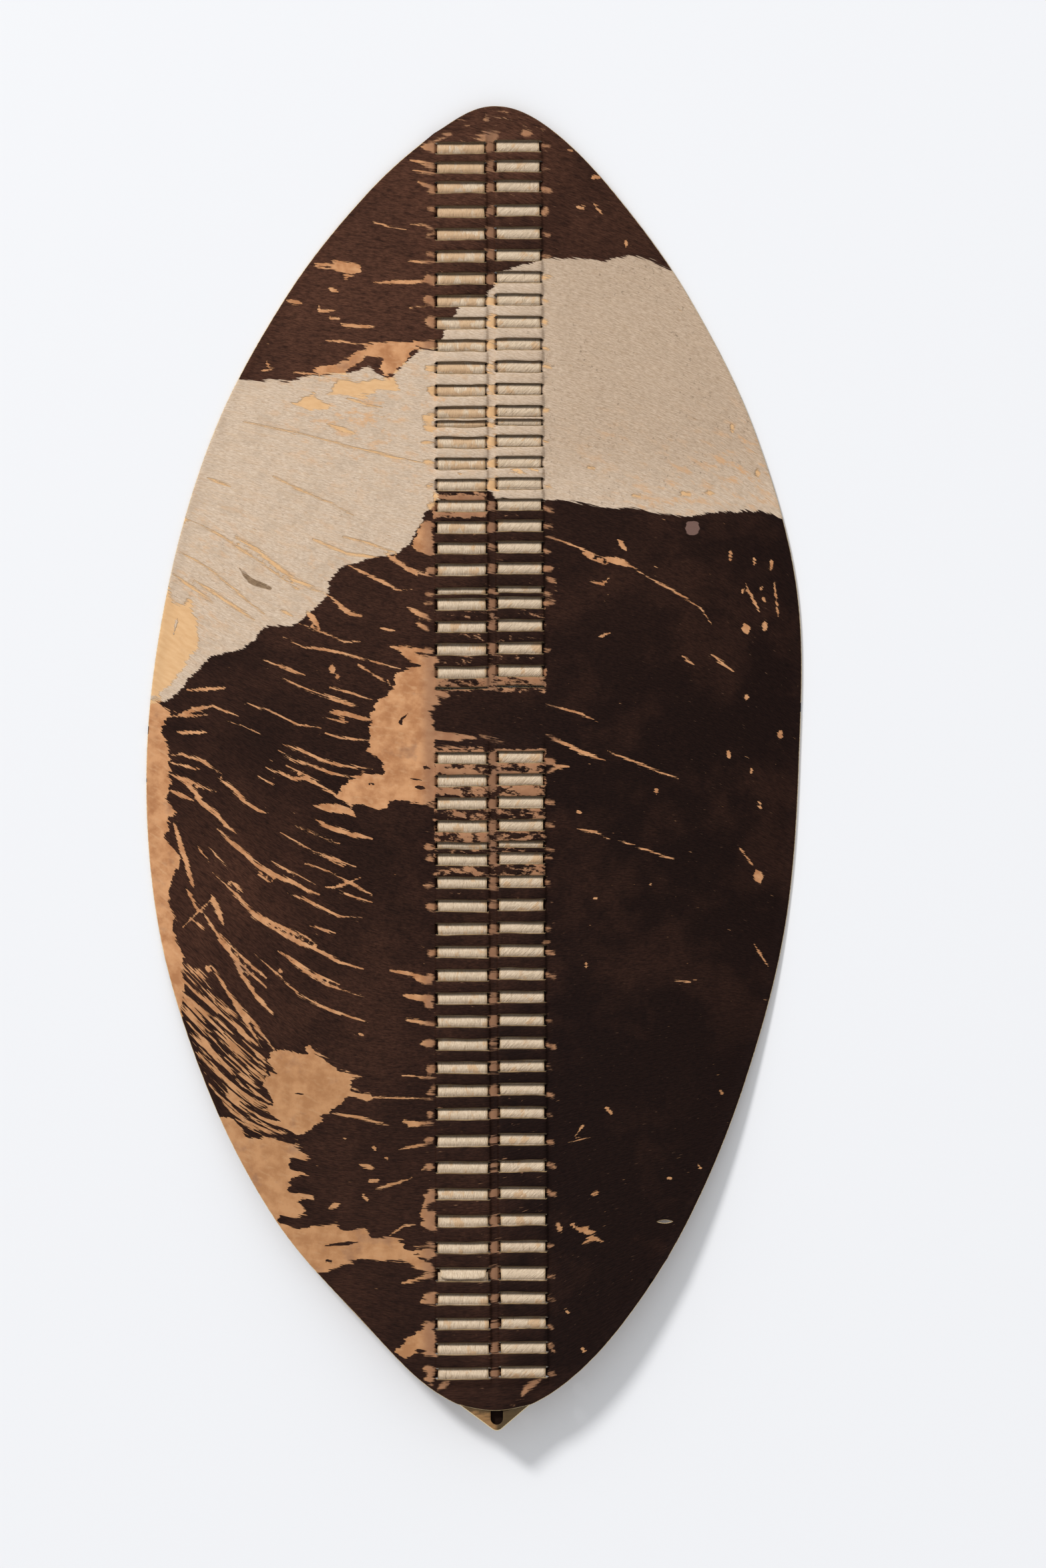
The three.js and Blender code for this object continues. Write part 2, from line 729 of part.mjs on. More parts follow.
function lace(name, column, stations) {
  return mesh(name, laceGeometry(column, stations), LACE_COLOUR);
}

const shield = new THREE.Group();
shield.add(
  mesh('hide', hideGeometry(), HIDE_COLOUR),
  lace('lace_upper_left', leftLace, wholeLace(upperWindows, slantLeft)),
  lace('lace_upper_right', rightLace, wholeLace(upperWindows, slantRight)),
  lace('lace_lower_left', leftLace, flappedLace()),
  lace('lace_bottom_left', leftLace, secondLace()),
  lace('lace_lower_right', rightLace, wholeLace(lowerWindows, slantRight)),
);

export default shield;
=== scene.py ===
"""Hide shield: a dried cowhide with short hair, laced with pale strips of hide.

Lengths are in millimetres in the functions below, and meshes are made in metres.
"across" is the distance to the right of the shield's spine, and "down" the distance
from its top point.
"""

import math

import bmesh
import bpy
import numpy as np
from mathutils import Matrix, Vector, geometry

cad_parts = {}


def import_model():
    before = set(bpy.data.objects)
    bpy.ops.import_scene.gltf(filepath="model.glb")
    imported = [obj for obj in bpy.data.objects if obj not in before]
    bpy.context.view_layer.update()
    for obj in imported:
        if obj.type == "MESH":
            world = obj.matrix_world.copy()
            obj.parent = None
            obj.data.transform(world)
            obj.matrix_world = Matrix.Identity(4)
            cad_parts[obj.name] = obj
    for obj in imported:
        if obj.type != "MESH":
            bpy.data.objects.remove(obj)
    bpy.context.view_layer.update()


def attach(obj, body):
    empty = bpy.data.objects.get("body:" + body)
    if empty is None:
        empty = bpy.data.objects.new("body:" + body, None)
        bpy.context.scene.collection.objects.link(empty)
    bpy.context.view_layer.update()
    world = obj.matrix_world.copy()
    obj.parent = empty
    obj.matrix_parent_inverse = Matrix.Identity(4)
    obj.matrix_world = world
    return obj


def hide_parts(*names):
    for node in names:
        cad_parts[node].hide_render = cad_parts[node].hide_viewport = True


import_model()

MM = 0.001

# The same sizes as in the frame
LENGTH = 1320
ALMOND = LENGTH - 18
WIDTH = {-1: 348, 1: 304}
SHAPE = {
    -1: [0.152, 0.368, 0.601, 0.807, 0.94, 1, 0.966, 0.83, 0.629, 0.371, 0.178],
    1: [0.181, 0.395, 0.638, 0.855, 0.993, 1, 0.954, 0.819, 0.635, 0.418, 0.201],
}
THICK = 3.2
CROWN, FULLNESS, BRIM = 30, 2.2, 10
TOP_LIFT, TOP_LIFT_LENGTH = 8, 200
TIP_LIFT, TIP_LIFT_LENGTH = 45, 530
LACE_THICK, LACE_CLEARANCE = 2.6, 0.6
LACE_WIDTH = {-1: (47, 51), 1: (43, 45)}
LACE_GAP = 12
LACE_GAP_CENTRE = (-4.7, 0.3)
LACE_TAIL, LACE_WEAVE, SHOULDER = 7, 0.6, 2
SLIT_MARGIN, SLIT_GAP, ROW_SLANT = 3.5, 1.2, 1.5
RAISE = (THICK + LACE_THICK) / 2 + LACE_CLEARANCE
FLAP_DROP = LACE_THICK / 2 + LACE_CLEARANCE / 4
BARE_SLIT_RAISE = 1.2
WIDE, NARROW, FLAP = 9.6, 4.6, 12
FIRST_SLIT, LAST_SLIT = 36.34, 1266.96
BARE_SLIT_STEP, GRIP = 15.6, 70
UPPER_ROWS = [(2, 19.7, WIDE), (1, 24.5, WIDE), (9, 22.3, WIDE), (1, 11.2, NARROW),
              (1, 18.7, WIDE), (6, 21.1, WIDE), (1, 21.5, NARROW), (1, 13, WIDE), (3, 22.6, WIDE)]
LOWER_ROWS = [(3, 22.6, WIDE), (1, 19.2, NARROW), (1, 14, WIDE), (11, 23, WIDE),
              (5, 26.6, WIDE), (1, 26.6, FLAP), (4, 24.5, WIDE)]
LIP_CORNER = ALMOND - 8
LIP_SAG = 6


def reach(side, down):
    """Distance from the spine to the rim on one side, -1 for left and 1 for right."""
    down = np.asarray(down, float)
    stations = [WIDTH[side] * share for share in SHAPE[side]]
    count = len(stations)
    turn = np.arccos(np.clip(1 - 2 * down / ALMOND, -1, 1)) / math.pi * (count + 1)
    values = np.array([-stations[0], 0, *stations, 0, -stations[-1]])
    index = np.minimum(turn.astype(int), count)
    t = turn - index
    a, b, c, d = (values[index + k] for k in range(4))
    slope_in, slope_out = (c - a) / 2, (d - b) / 2
    cubic = 2 * b - 2 * c + slope_in + slope_out
    square = 3 * c - 3 * b - 2 * slope_in - slope_out
    return ((cubic * t + square) * t + slope_in) * t + b


SPINE_X = (reach(-1, np.linspace(0, ALMOND, 4001)).max()
           - reach(1, np.linspace(0, ALMOND, 4001)).max()) / 2


def side_reach(across, down):
    return np.where(np.asarray(across) < 0, reach(-1, down), reach(1, down))


def underside(across, down):
    """Height of the hide's own underside, before it is pushed in or out at the laces."""
    dome = np.maximum(side_reach(across, down) - BRIM, 1)
    share = np.minimum(np.abs(across) / dome, 1)
    crown = CROWN * np.sin(math.pi * np.clip(down / LENGTH, 0, 1))
    near_top = np.maximum(0, 1 - down / TOP_LIFT_LENGTH)
    near_tip = np.maximum(0, 1 - (LENGTH - down) / TIP_LIFT_LENGTH)
    lift = TOP_LIFT * near_top**2 + TIP_LIFT * near_tip**1.5
    return lift + crown * (1 - share**FULLNESS)


def gap_centre(share):
    """Middle of the gap between the laces, at a share of the length."""
    return LACE_GAP_CENTRE[0] + (LACE_GAP_CENTRE[1] - LACE_GAP_CENTRE[0]) * share


def lace_edges(side, down):
    """Left and right edge of a column of lace."""
    share = np.asarray(down, float) / LENGTH
    centre = gap_centre(share)
    top, bottom = LACE_WIDTH[side]
    width = top + (bottom - top) * share
    if side < 0:
        return centre - LACE_GAP / 2 - width, centre - LACE_GAP / 2
    return centre + LACE_GAP / 2, centre + LACE_GAP / 2 + width


def windows_below(first, rows, stretch):
    windows = [(first, WIDE)]
    for count, step, opening in rows:
        for _ in range(count):
            windows.append((windows[-1][0] + step * stretch, opening))
    return windows


room = LAST_SLIT - FIRST_SLIT - WIDE - BARE_SLIT_STEP - GRIP
stretch = room / sum(count * step for count, step, _ in UPPER_ROWS + LOWER_ROWS)
upper_windows = windows_below(FIRST_SLIT + WIDE / 2, UPPER_ROWS, stretch)
BARE_SLIT = upper_windows[-1][0] + BARE_SLIT_STEP
lower_windows = windows_below(BARE_SLIT + GRIP, LOWER_ROWS, stretch)


NOISE_SIZE = 256
NOISE_SHIFT = (91.3, 57.7)


def value_noise(x, y, cell, seed):
    """Smooth seeded noise from -1 to 1 whose bumps are about one cell wide."""
    size = NOISE_SIZE
    table = np.random.default_rng(seed).uniform(-1, 1, (size, size))
    gx, gy = x / cell + NOISE_SHIFT[0], y / cell + NOISE_SHIFT[1]
    ix, iy = np.floor(gx).astype(int), np.floor(gy).astype(int)
    fx, fy = gx - ix, gy - iy
    fx, fy = fx * fx * (3 - 2 * fx), fy * fy * (3 - 2 * fy)
    a = table[ix % size, iy % size]
    b = table[(ix + 1) % size, iy % size]
    c = table[ix % size, (iy + 1) % size]
    d = table[(ix + 1) % size, (iy + 1) % size]
    return (a * (1 - fx) + b * fx) * (1 - fy) + (c * (1 - fx) + d * fx) * fy


def smooth(value, low, high):
    t = np.clip((value - low) / (high - low), 0, 1)
    return t * t * (3 - 2 * t)


def segment_distance(points, start, end):
    """Distance of points to a segment, and how far along it they lie, from 0 to 1."""
    start, end = np.asarray(start, float), np.asarray(end, float)
    run = end - start
    share = np.clip(((points - start) @ run) / max(run @ run, 1e-9), 0, 1)
    return np.linalg.norm(points - start - share[:, None] * run, axis=1), share


def polygon_distance(points, corners):
    """Signed distance to a closed outline, positive inside."""
    corners = np.asarray(corners, float)
    nearest = np.full(len(points), 1e9)
    inside = np.zeros(len(points), bool)
    for (x0, y0), (x1, y1) in zip(corners, np.roll(corners, -1, axis=0)):
        distance, _ = segment_distance(points, (x0, y0), (x1, y1))
        nearest = np.minimum(nearest, distance)
        if y0 != y1:
            crosses = (points[:, 1] > min(y0, y1)) & (points[:, 1] <= max(y0, y1))
            edge = x0 + (points[:, 1] - y0) * (x1 - x0) / (y1 - y0)
            inside ^= crosses & (points[:, 0] < edge)
    return np.where(inside, nearest, -nearest)


# A mesh under construction: points in plan with a height over the hide's own underside
class Plan:
    def __init__(self):
        self.points = []
        self.count = 0
        self.faces = []

    def add(self, across, down, rise, cut=0.0, top=1.0, lip=0.0, hollow=0.0):
        """Adds points, all arguments being arrays or single numbers, and gives their numbers."""
        columns = (across, down, rise, cut, top, lip, hollow)
        block = np.broadcast_arrays(*[np.asarray(values, float) for values in columns])
        self.points.append(np.stack([values.ravel() for values in block], axis=1))
        ids = np.arange(self.count, self.count + block[0].size).reshape(block[0].shape)
        self.count += block[0].size
        return ids

    def grid(self, ids, flip=False):
        """Quads over a grid of point numbers whose rows run down and columns across."""
        ids = np.asarray(ids)
        quads = np.stack([ids[:-1, :-1], ids[1:, :-1], ids[1:, 1:], ids[:-1, 1:]], axis=-1)
        quads = quads.reshape(-1, 4)
        self.faces.extend((quads[:, ::-1] if flip else quads).tolist())

    def band(self, rows):
        """Quads between closed rows of point numbers."""
        ids = np.stack(rows)
        self.grid(np.concatenate([ids, ids[:, :1]], axis=1))

    def table(self):
        return np.concatenate(self.points)


# Plan of the hide's rim, with its two short cuts, one of them torn out to the rim
# Nicks of each side's rim: how far down, half their height and their depth
NICKS = {-1: ((623, 4, 2), (673, 1.5, 2.5)), 1: ((600, 5, 1.5),)}
UPPER_CUT = {"down": LENGTH - 207.3, "inset": 23, "length": 16, "height": 3, "slope": 0}
LOWER_CUT = {"down": LENGTH - 172, "inset": 14.5, "length": 20, "height": 5, "slope": -0.12}
TEAR_HEIGHT, TEAR_START = 0.8, 0.4
RIM_SPACING, NICK_SPACING, RIM_BEVEL = 3.0, 0.6, 0.8


def nick_depth(side, down):
    """How far the rim's small nicks reach in."""
    depth = np.zeros_like(down)
    for place, radius, bite in NICKS[side]:
        ahead = np.abs(down - place) / radius
        depth = np.maximum(depth, bite * np.sqrt(np.clip(1 - ahead**2, 0, 1)))
    return depth


def side_points(side):
    """Rim points of one side, from the top point to the lip's corner."""
    turn = np.linspace(0, math.acos(1 - 2 * LIP_CORNER / ALMOND), 6001)
    down = ALMOND * (1 - np.cos(turn)) / 2
    across = side * (reach(side, down) - nick_depth(side, down))
    run = np.concatenate([[0], np.cumsum(np.hypot(np.diff(across), np.diff(down)))])
    marks = set(np.linspace(0, run[-1], int(run[-1] / RIM_SPACING) + 1).tolist())
    for place, radius, _ in NICKS[side]:
        near = run[np.abs(down - place) < radius * 1.2]
        marks.update(np.arange(near[0], near[-1], NICK_SPACING).tolist())
    marks = np.array(sorted(marks))
    marks = marks[np.concatenate([[True], np.diff(marks) > 0.25])]
    return np.stack([np.interp(marks, run, across), np.interp(marks, run, down)], axis=1)


def lens_points(cut):
    """Upper side of a cut from left to right, and its lower side, both with their ends."""
    across = reach(1, cut["down"]) - cut["inset"]
    share = np.linspace(0, 1, 9)
    along = (share - 0.5) * cut["length"]
    bulge = np.sin(math.pi * share) * cut["height"] / 2
    level = cut["down"] - along * cut["slope"]
    upper = np.stack([across + along, level - bulge], axis=1)
    lower = np.stack([across + along, level + bulge], axis=1)
    return upper, lower


def outline():
    """The rim as one loop: down the left side, along the lip and up the right side."""
    left = side_points(-1)
    right = side_points(1)
    share = np.linspace(0, 1, 31)[1:-1]
    ends = -float(reach(-1, LIP_CORNER)), float(reach(1, LIP_CORNER))
    lip = np.stack([ends[0] + (ends[1] - ends[0]) * share,
                    LIP_CORNER + LIP_SAG * np.sin(math.pi * share)], axis=1)
    upper, lower = lens_points(LOWER_CUT)
    start = upper[4, 0] + LOWER_CUT["length"] * TEAR_START
    level = LOWER_CUT["down"] - LOWER_CUT["slope"] * LOWER_CUT["length"] * TEAR_START
    half = TEAR_HEIGHT / 2
    above = right[right[:, 1] < level - half - 1]
    below = right[right[:, 1] > level + half + 1]
    slot_end = float(reach(1, level))
    slot = np.linspace(start + 1, slot_end, 5)
    torn = np.concatenate([
        np.stack([slot[::-1], np.full(5, level - half)], axis=1),
        upper[upper[:, 0] < start][::-1],
        lower[1:][lower[1:, 0] < start],
        np.stack([slot, np.full(5, level + half)], axis=1),
    ])
    right = np.concatenate([above, torn, below])
    return np.concatenate([left, lip, right[::-1][:-1]])


def inset(loop, distance):
    """The loop moved inwards; a loop round the hide runs down its left side first."""
    ahead = np.roll(loop, -1, axis=0) - loop
    behind = loop - np.roll(loop, 1, axis=0)
    normals = []
    for run in (ahead, behind):
        length = np.linalg.norm(run, axis=1, keepdims=True)
        normals.append(np.stack([run[:, 1], -run[:, 0]], axis=1) / np.maximum(length, 1e-9))
    normal = normals[0] + normals[1]
    normal /= np.maximum(np.linalg.norm(normal, axis=1, keepdims=True), 0.3)
    return loop + normal * distance


# Rows of slits in one column
def levels_of(side):
    """Each level across a column: how far down it is, the rise just above and just below it,
    and whether the hide is slit there."""
    slant = -side * ROW_SLANT / 2
    levels = [(FIRST_SLIT - LACE_TAIL - SHOULDER, 0, 0, False)]

    def add_windows(windows):
        for middle, opening in windows:
            push = -RAISE - (FLAP_DROP if opening == FLAP and side < 0 else 0)
            levels.append((middle - opening / 2 + slant, RAISE, push, True))
            levels.append((middle + opening / 2 + slant, push, RAISE, True))

    add_windows(upper_windows)
    levels.append((BARE_SLIT + slant, BARE_SLIT_RAISE, 0, True))
    levels.append((BARE_SLIT + GRIP / 3 + slant, 0, 0, False))
    levels.append((BARE_SLIT + GRIP * 2 / 3 + slant, 0, 0, False))
    add_windows(lower_windows)
    levels.append((LAST_SLIT + LACE_TAIL + SHOULDER, 0, 0, False))
    return levels


SLOPE_RUN = SLIT_MARGIN - LACE_CLEARANCE
EDGE_STEPS = [0, 0.9, 1.9, SLOPE_RUN]
MIDDLE_COLUMNS = 15
ROW_STEP = 2.9
FACES = ("top", "bottom")


def column_stations(side, down):
    """Across positions of a column's grid, with a share that is 0 at the slit's ends."""
    left, right = lace_edges(side, down)
    left, right = left - SLIT_MARGIN, right + SLIT_MARGIN
    width = right - left
    middle = np.linspace(0, 1, MIDDLE_COLUMNS)[1:-1]
    offsets = [np.full_like(width, step) for step in EDGE_STEPS]
    offsets += [SLOPE_RUN + (width - 2 * SLOPE_RUN) * share for share in middle]
    offsets += [width - step for step in EDGE_STEPS[::-1]]
    offsets = np.stack(offsets, axis=-1)
    share = smooth(np.minimum(offsets, width[..., None] - offsets), 0, SLOPE_RUN)
    return left[..., None] + offsets, share


def row_shares(length, fine):
    """Rows of one interval as shares of its length, close together at both edges."""
    near = [0, 0.6, 1.3, 2.4] if fine else [0, 1.5]
    near = [step / length for step in near if step < length * 0.35]
    gap = 1 - 2 * near[-1]
    inner = max(1, round(gap * length / ROW_STEP))
    middle = [near[-1] + gap * k / inner for k in range(1, inner)]
    return np.array(near + middle + [1 - step for step in near[::-1]])


def lace_column(plan, side):
    """The slit part of the hide in one column, and the point numbers round it."""
    levels = levels_of(side)
    sides = {face: ([], []) for face in FACES}
    ends = {}
    for index in range(len(levels) - 1):
        start, _, rise_start, slit_start = levels[index]
        end, rise_end, _, slit_end = levels[index + 1]
        length = end - start
        bridge = rise_start > 2 and rise_end > 2
        for face in FACES:
            fine = rise_start > 1 or rise_end > 1
            rows = row_shares(length, fine) if face == "top" else np.array([0, 0.5, 1])
            plain = start + rows * length
            across, weight = column_stations(side, plain)
            gap_start = SLIT_GAP / 2 * slit_start * weight
            gap_end = SLIT_GAP / 2 * slit_end * weight
            share = rows[:, None]
            down = start + gap_start + share * (length - gap_start - gap_end)
            for part, line, slit in ((1 - share, start, slit_start), (share, end, slit_end)):
                sway = value_noise(across, np.full_like(across, line), 21, 5) * 0.7
                down = down + part**2 * sway * weight * slit
            rise = (rise_start + (rise_end - rise_start) * share) * weight
            cut = np.zeros_like(rise)
            lip = smooth(share, 0.5, 0.6) + cut
            if bridge:
                rise = rise + 0.35 * np.sin(math.pi * share) * weight
                rise = rise + 0.35 * value_noise(across, down, 26, 8) * weight
            if face == "top":
                rise = rise + THICK
                for edge, slit in ((share * length, slit_start),
                                   ((1 - share) * length, slit_end)):
                    rise = rise - 1.8 * (1 - smooth(edge, -0.6, 2.0)) * weight * slit
                    cut = np.maximum(cut, (1 - smooth(edge, 0.5, 1.4)) * weight * slit)
            ids = plan.add(across, down, rise, cut, face == "top", lip)
            plan.grid(ids, flip=face == "bottom")
            for edge in (0, 1):
                sides[face][edge].extend(ids[:, -edge].tolist())
                ends[face, index, edge] = ids[-edge]
        for edge, slit in ((0, slit_start), (1, slit_end)):
            if slit:
                plan.grid([ends[face, index, edge] for face in FACES], flip=edge == 0)
    last = len(levels) - 2
    loops = {}
    for face in FACES:
        left, right = sides[face]
        loops[face] = [*left, *ends[face, last, 1][1:-1].tolist(), *right[::-1],
                       *ends[face, 0, 0][1:-1][::-1].tolist()]
    return loops, (levels[0][0], levels[-1][0])


def in_columns(points, span, margin=0.0):
    """True for plan points inside either column of slits, widened by a margin."""
    across, down = points[:, 0], points[:, 1]
    inside = np.zeros(len(points), bool)
    for side in (-1, 1):
        left, right = lace_edges(side, down)
        left, right = left - SLIT_MARGIN - margin, right + SLIT_MARGIN + margin
        inside |= (across > left) & (across < right)
    return inside & (down > span[0] - margin) & (down < span[1] + margin)


def fill(plan, loops, inner, holes, span, flip=False):
    """Triangles over the plan inside the first loop and outside the others."""
    ids = [number for loop in loops for number in loop] + list(inner)
    table = plan.table()
    merged, back = {}, []

    def place(number):
        return round(table[number, 0], 3), round(table[number, 1], 3)

    for number in ids:
        if place(number) not in merged:
            merged[place(number)] = len(back)
            back.append(number)
    edges = set()
    for loop in loops:
        chain = [merged[place(number)] for number in loop]
        edges.update((a, b) for a, b in zip(chain, chain[1:] + chain[:1]) if a != b)
    verts, _, faces, origin, _, _ = geometry.delaunay_2d_cdt(
        [Vector(key) for key in merged], list(edges), [], 1, 1e-5, True)
    spots = np.array([[v.x, v.y] for v in verts])
    tri = np.array(faces)
    middle = spots[tri].mean(axis=1)
    keep = ~in_columns(middle, span)
    for hole in holes:
        near = (np.abs(middle - hole.mean(axis=0)).max(axis=1) < 25) & keep
        keep[near] &= polygon_distance(middle[near], hole) < 0
    number_of = np.array([back[origin[k][0]] if origin[k] else -1 for k in range(len(verts))])
    tri = number_of[tri[keep]]
    tri = tri[(tri >= 0).all(axis=1)]
    a, b, c = (table[tri[:, k], :2] for k in range(3))
    turn = (b[:, 0] - a[:, 0]) * (c[:, 1] - a[:, 1]) - (b[:, 1] - a[:, 1]) * (c[:, 0] - a[:, 0])
    tri = tri[np.abs(turn) > 1e-7]
    turn = turn[np.abs(turn) > 1e-7]
    wrong = (turn > 0) != flip
    tri[wrong] = tri[wrong][:, ::-1]
    plan.faces.extend(tri.tolist())


EXTRA_ROOM, RUN_ROOM = 1.7, 1.3


def neighbours(taken, point, size):
    """What a dict of square cells holds in a point's cell and in the eight round it."""
    i, j = int(point[0] // size), int(point[1] // size)
    return [other for di in (-1, 0, 1) for dj in (-1, 0, 1)
            for other in taken.get((i + di, j + dj), ())]


def inner_points(rim, spacing, span, extra):
    """A regular field of plan points inside the hide, made room for the extra ones."""
    rows = np.arange(spacing, LENGTH, spacing * math.sqrt(3) / 2)
    points = []
    for index, down in enumerate(rows):
        across = np.arange(-WIDTH[-1], WIDTH[1], spacing) + (index % 2) * spacing / 2
        points.append(np.stack([across, np.full_like(across, down)], axis=1))
    points = np.concatenate(points)
    rng = np.random.default_rng(11)
    points += rng.uniform(-0.12, 0.12, points.shape) * spacing
    if len(extra):
        taken, cell = {}, 4
        for x, y in extra:
            taken.setdefault((int(x // cell), int(y // cell)), []).append((x, y))
        keep = [all((a - x) ** 2 + (b - y) ** 2 >= EXTRA_ROOM**2
                    for a, b in neighbours(taken, (x, y), cell)) for x, y in points]
        points = np.concatenate([points[np.array(keep)], extra])
    inside = (points[:, 0] > -reach(-1, points[:, 1])) & (points[:, 0] < reach(1, points[:, 1]))
    inside &= points[:, 1] < LIP_CORNER + LIP_SAG
    points = points[inside & ~in_columns(points, span, min(spacing * 0.45, 1.6))]
    return points[polygon_distance(points, rim) > spacing * 0.55]


# The folded tab below the lip, with its pocket
TAB_THICK, TAB_OVERLAP, TAB_TAPER, TAB_INSET, TAB_DROP = 8, 8, 9, 1, 2.4
TIP_ACROSS, TIP_RADIUS = 2, 8
POCKET_WIDTH, POCKET_BACK, POCKET_RIM = 12, 2, 6
TAB_ACROSS, TAB_DOWN, TAB_STEP, TAB_ROOM = (-34, 36), (1284, 1320), 1.7, 2.2


def resample(loop, spacing):
    """A closed loop with points at about even spacing, its own corners kept."""
    points = []
    for start, end in zip(loop, np.roll(loop, -1, axis=0)):
        steps = max(1, int(round(np.linalg.norm(end - start) / spacing)))
        points.extend(start + (end - start) * k / steps for k in range(steps))
    return np.array(points)


def tab_outline():
    """The tab's outline, down its left side first."""
    left = np.array([TAB_INSET - float(reach(-1, LIP_CORNER)), LIP_CORNER])
    right = np.array([float(reach(1, LIP_CORNER)) - TAB_INSET, LIP_CORNER])
    centre = np.array([TIP_ACROSS, LENGTH - TIP_RADIUS])
    angles = []
    for corner, turn in ((left, 1), (right, -1)):
        away = (corner - centre) * (1, -1)
        lean = math.acos(TIP_RADIUS / np.linalg.norm(away))
        angles.append(math.atan2(away[1], away[0]) + turn * lean)
    sweep = (angles[1] - angles[0]) % (2 * math.pi)
    round_tip = [centre + TIP_RADIUS * np.array([math.cos(a), -math.sin(a)])
                 for a in angles[0] + sweep * np.linspace(0, 1, 15)]
    hidden = np.array([TAB_TAPER, -TAB_OVERLAP])
    return np.array([left + hidden, left, *round_tip, right, right + hidden * (-1, 1)])


def pocket_outline():
    """The pocket's outline, up its right side first, so the hide lies to its outside."""
    half = POCKET_WIDTH / 2
    foot = LENGTH - POCKET_RIM - half
    head = LIP_CORNER - TAB_OVERLAP / 2
    turn = np.linspace(0, math.pi, 13)
    bowl = np.stack([TIP_ACROSS + half * np.cos(turn), foot + half * np.sin(turn)], axis=1)
    return np.array([[TIP_ACROSS - half, head], [TIP_ACROSS + half, head], *bowl])


def add_tab(plan):
    face = float(underside(0.0, LIP_CORNER)) + THICK - TAB_DROP
    rim = resample(tab_outline(), 1.6)
    mouth = resample(pocket_outline(), 1.4)

    def ring(loop, distance, level, cut, top, hollow=0.0):
        across, down = inset(loop, distance).T
        rise = level - underside(across, down)
        return plan.add(across, down, rise, cut, top, 0.0, hollow)

    floor = face - TAB_THICK + POCKET_BACK
    outer = [ring(rim, 1.1, face, 0, 1), ring(rim, 0.35, face - 0.5, 0.9, 1),
             ring(rim, 0, face - 1.4, 1, 0.7), ring(rim, 0, face - TAB_THICK, 1, 0)]
    inner = [ring(mouth, 1.2, face, 0, 1), ring(mouth, 0.3, face - 0.5, 0.3, 1),
             ring(mouth, 0, face - 1.5, 0, 1, 1), ring(mouth, 0, floor, 0, 1, 1)]
    plan.band(outer)
    plan.band(inner)
    plan_span = (0, LAST_SLIT)
    grid = np.array([(x, y) for x in np.arange(*TAB_ACROSS, TAB_STEP)
                     for y in np.arange(*TAB_DOWN, TAB_STEP)])
    inside = grid[(polygon_distance(grid, rim) > TAB_ROOM)
                  & (polygon_distance(grid, mouth) < -TAB_ROOM)]
    rise = face + 0.25 * value_noise(*inside.T, 6, 4) - underside(*inside.T)
    face_ids = plan.add(*inside.T, rise, 0.0, 1)
    fill(plan, [outer[0].tolist(), inner[0].tolist()], face_ids.tolist(), [mouth], plan_span)
    fill(plan, [inner[-1].tolist()], [], [], plan_span)
    fill(plan, [outer[-1].tolist()], [], [], plan_span, flip=True)


# Rings of a cut edge: how far in, rise, and the attributes cut and top
RIM_RINGS = ((RIM_BEVEL, THICK, 0, 1), (0.3, THICK - 0.4, 0.9, 1), (0, THICK - 1.3, 1, 0.8),
             (0, 0, 1, 0))
FIELD_SPACING = {"top": 3.8, "bottom": 17}


def hide_plan(extra):
    """The whole hide with its tab, and the number of the tab's first point."""
    plan = Plan()
    column_loops = {face: [] for face in FACES}
    for side in (-1, 1):
        loops, span = lace_column(plan, side)
        for face, loop in loops.items():
            column_loops[face].append(loop)
    rim = outline()
    lens_upper, lens_lower = lens_points(UPPER_CUT)
    lens = np.concatenate([lens_upper, lens_lower[1:-1][::-1]])
    chains = {face: [] for face in FACES}
    for loop in (rim, lens):
        rows = [plan.add(*inset(loop, distance).T, *values) for distance, *values in RIM_RINGS]
        plan.band(rows)
        chains["top"].append(rows[0].tolist())
        chains["bottom"].append(rows[-1].tolist())
    for face, spacing in FIELD_SPACING.items():
        points = inner_points(rim, spacing, span, extra if face == "top" else [])
        points = points[polygon_distance(points, lens) < -spacing * 0.5]
        rise = THICK if face == "top" else 0
        ids = plan.add(*points.T, rise, 0.0, face == "top")
        loops = chains[face] + column_loops[face]
        fill(plan, loops, ids.tolist(), [lens], span, flip=face == "bottom")
    tab_start = plan.count
    add_tab(plan)
    return plan, tab_start


SHARP_ANGLE = math.radians(62)


def make_object(name, spots, faces, attributes, merge=0.0):
    """A mesh object; spots, and the distance within which points merge, are in millimetres."""
    data = bpy.data.meshes.new(name)
    data.from_pydata((np.asarray(spots) * MM).tolist(), [], faces)
    for key, values in attributes.items():
        layer = data.attributes.new(key, "FLOAT", "POINT")
        layer.data.foreach_set("value", np.asarray(values, np.float32))
    data.update()
    piece = bpy.data.objects.new(name, data)
    bpy.context.scene.collection.objects.link(piece)
    if merge:
        form = bmesh.new()
        form.from_mesh(data)
        bmesh.ops.remove_doubles(form, verts=form.verts, dist=merge * MM)
        form.to_mesh(data)
        form.free()
    data.polygons.foreach_set("use_smooth", [True] * len(data.polygons))
    data.set_sharp_from_angle(angle=SHARP_ANGLE)
    return piece


# Laces
LACE_ROW, FLAP_BEND = 1.3, 9
LACE_STEPS = [0, 0.35, 1.1, 2.3, 4.0]


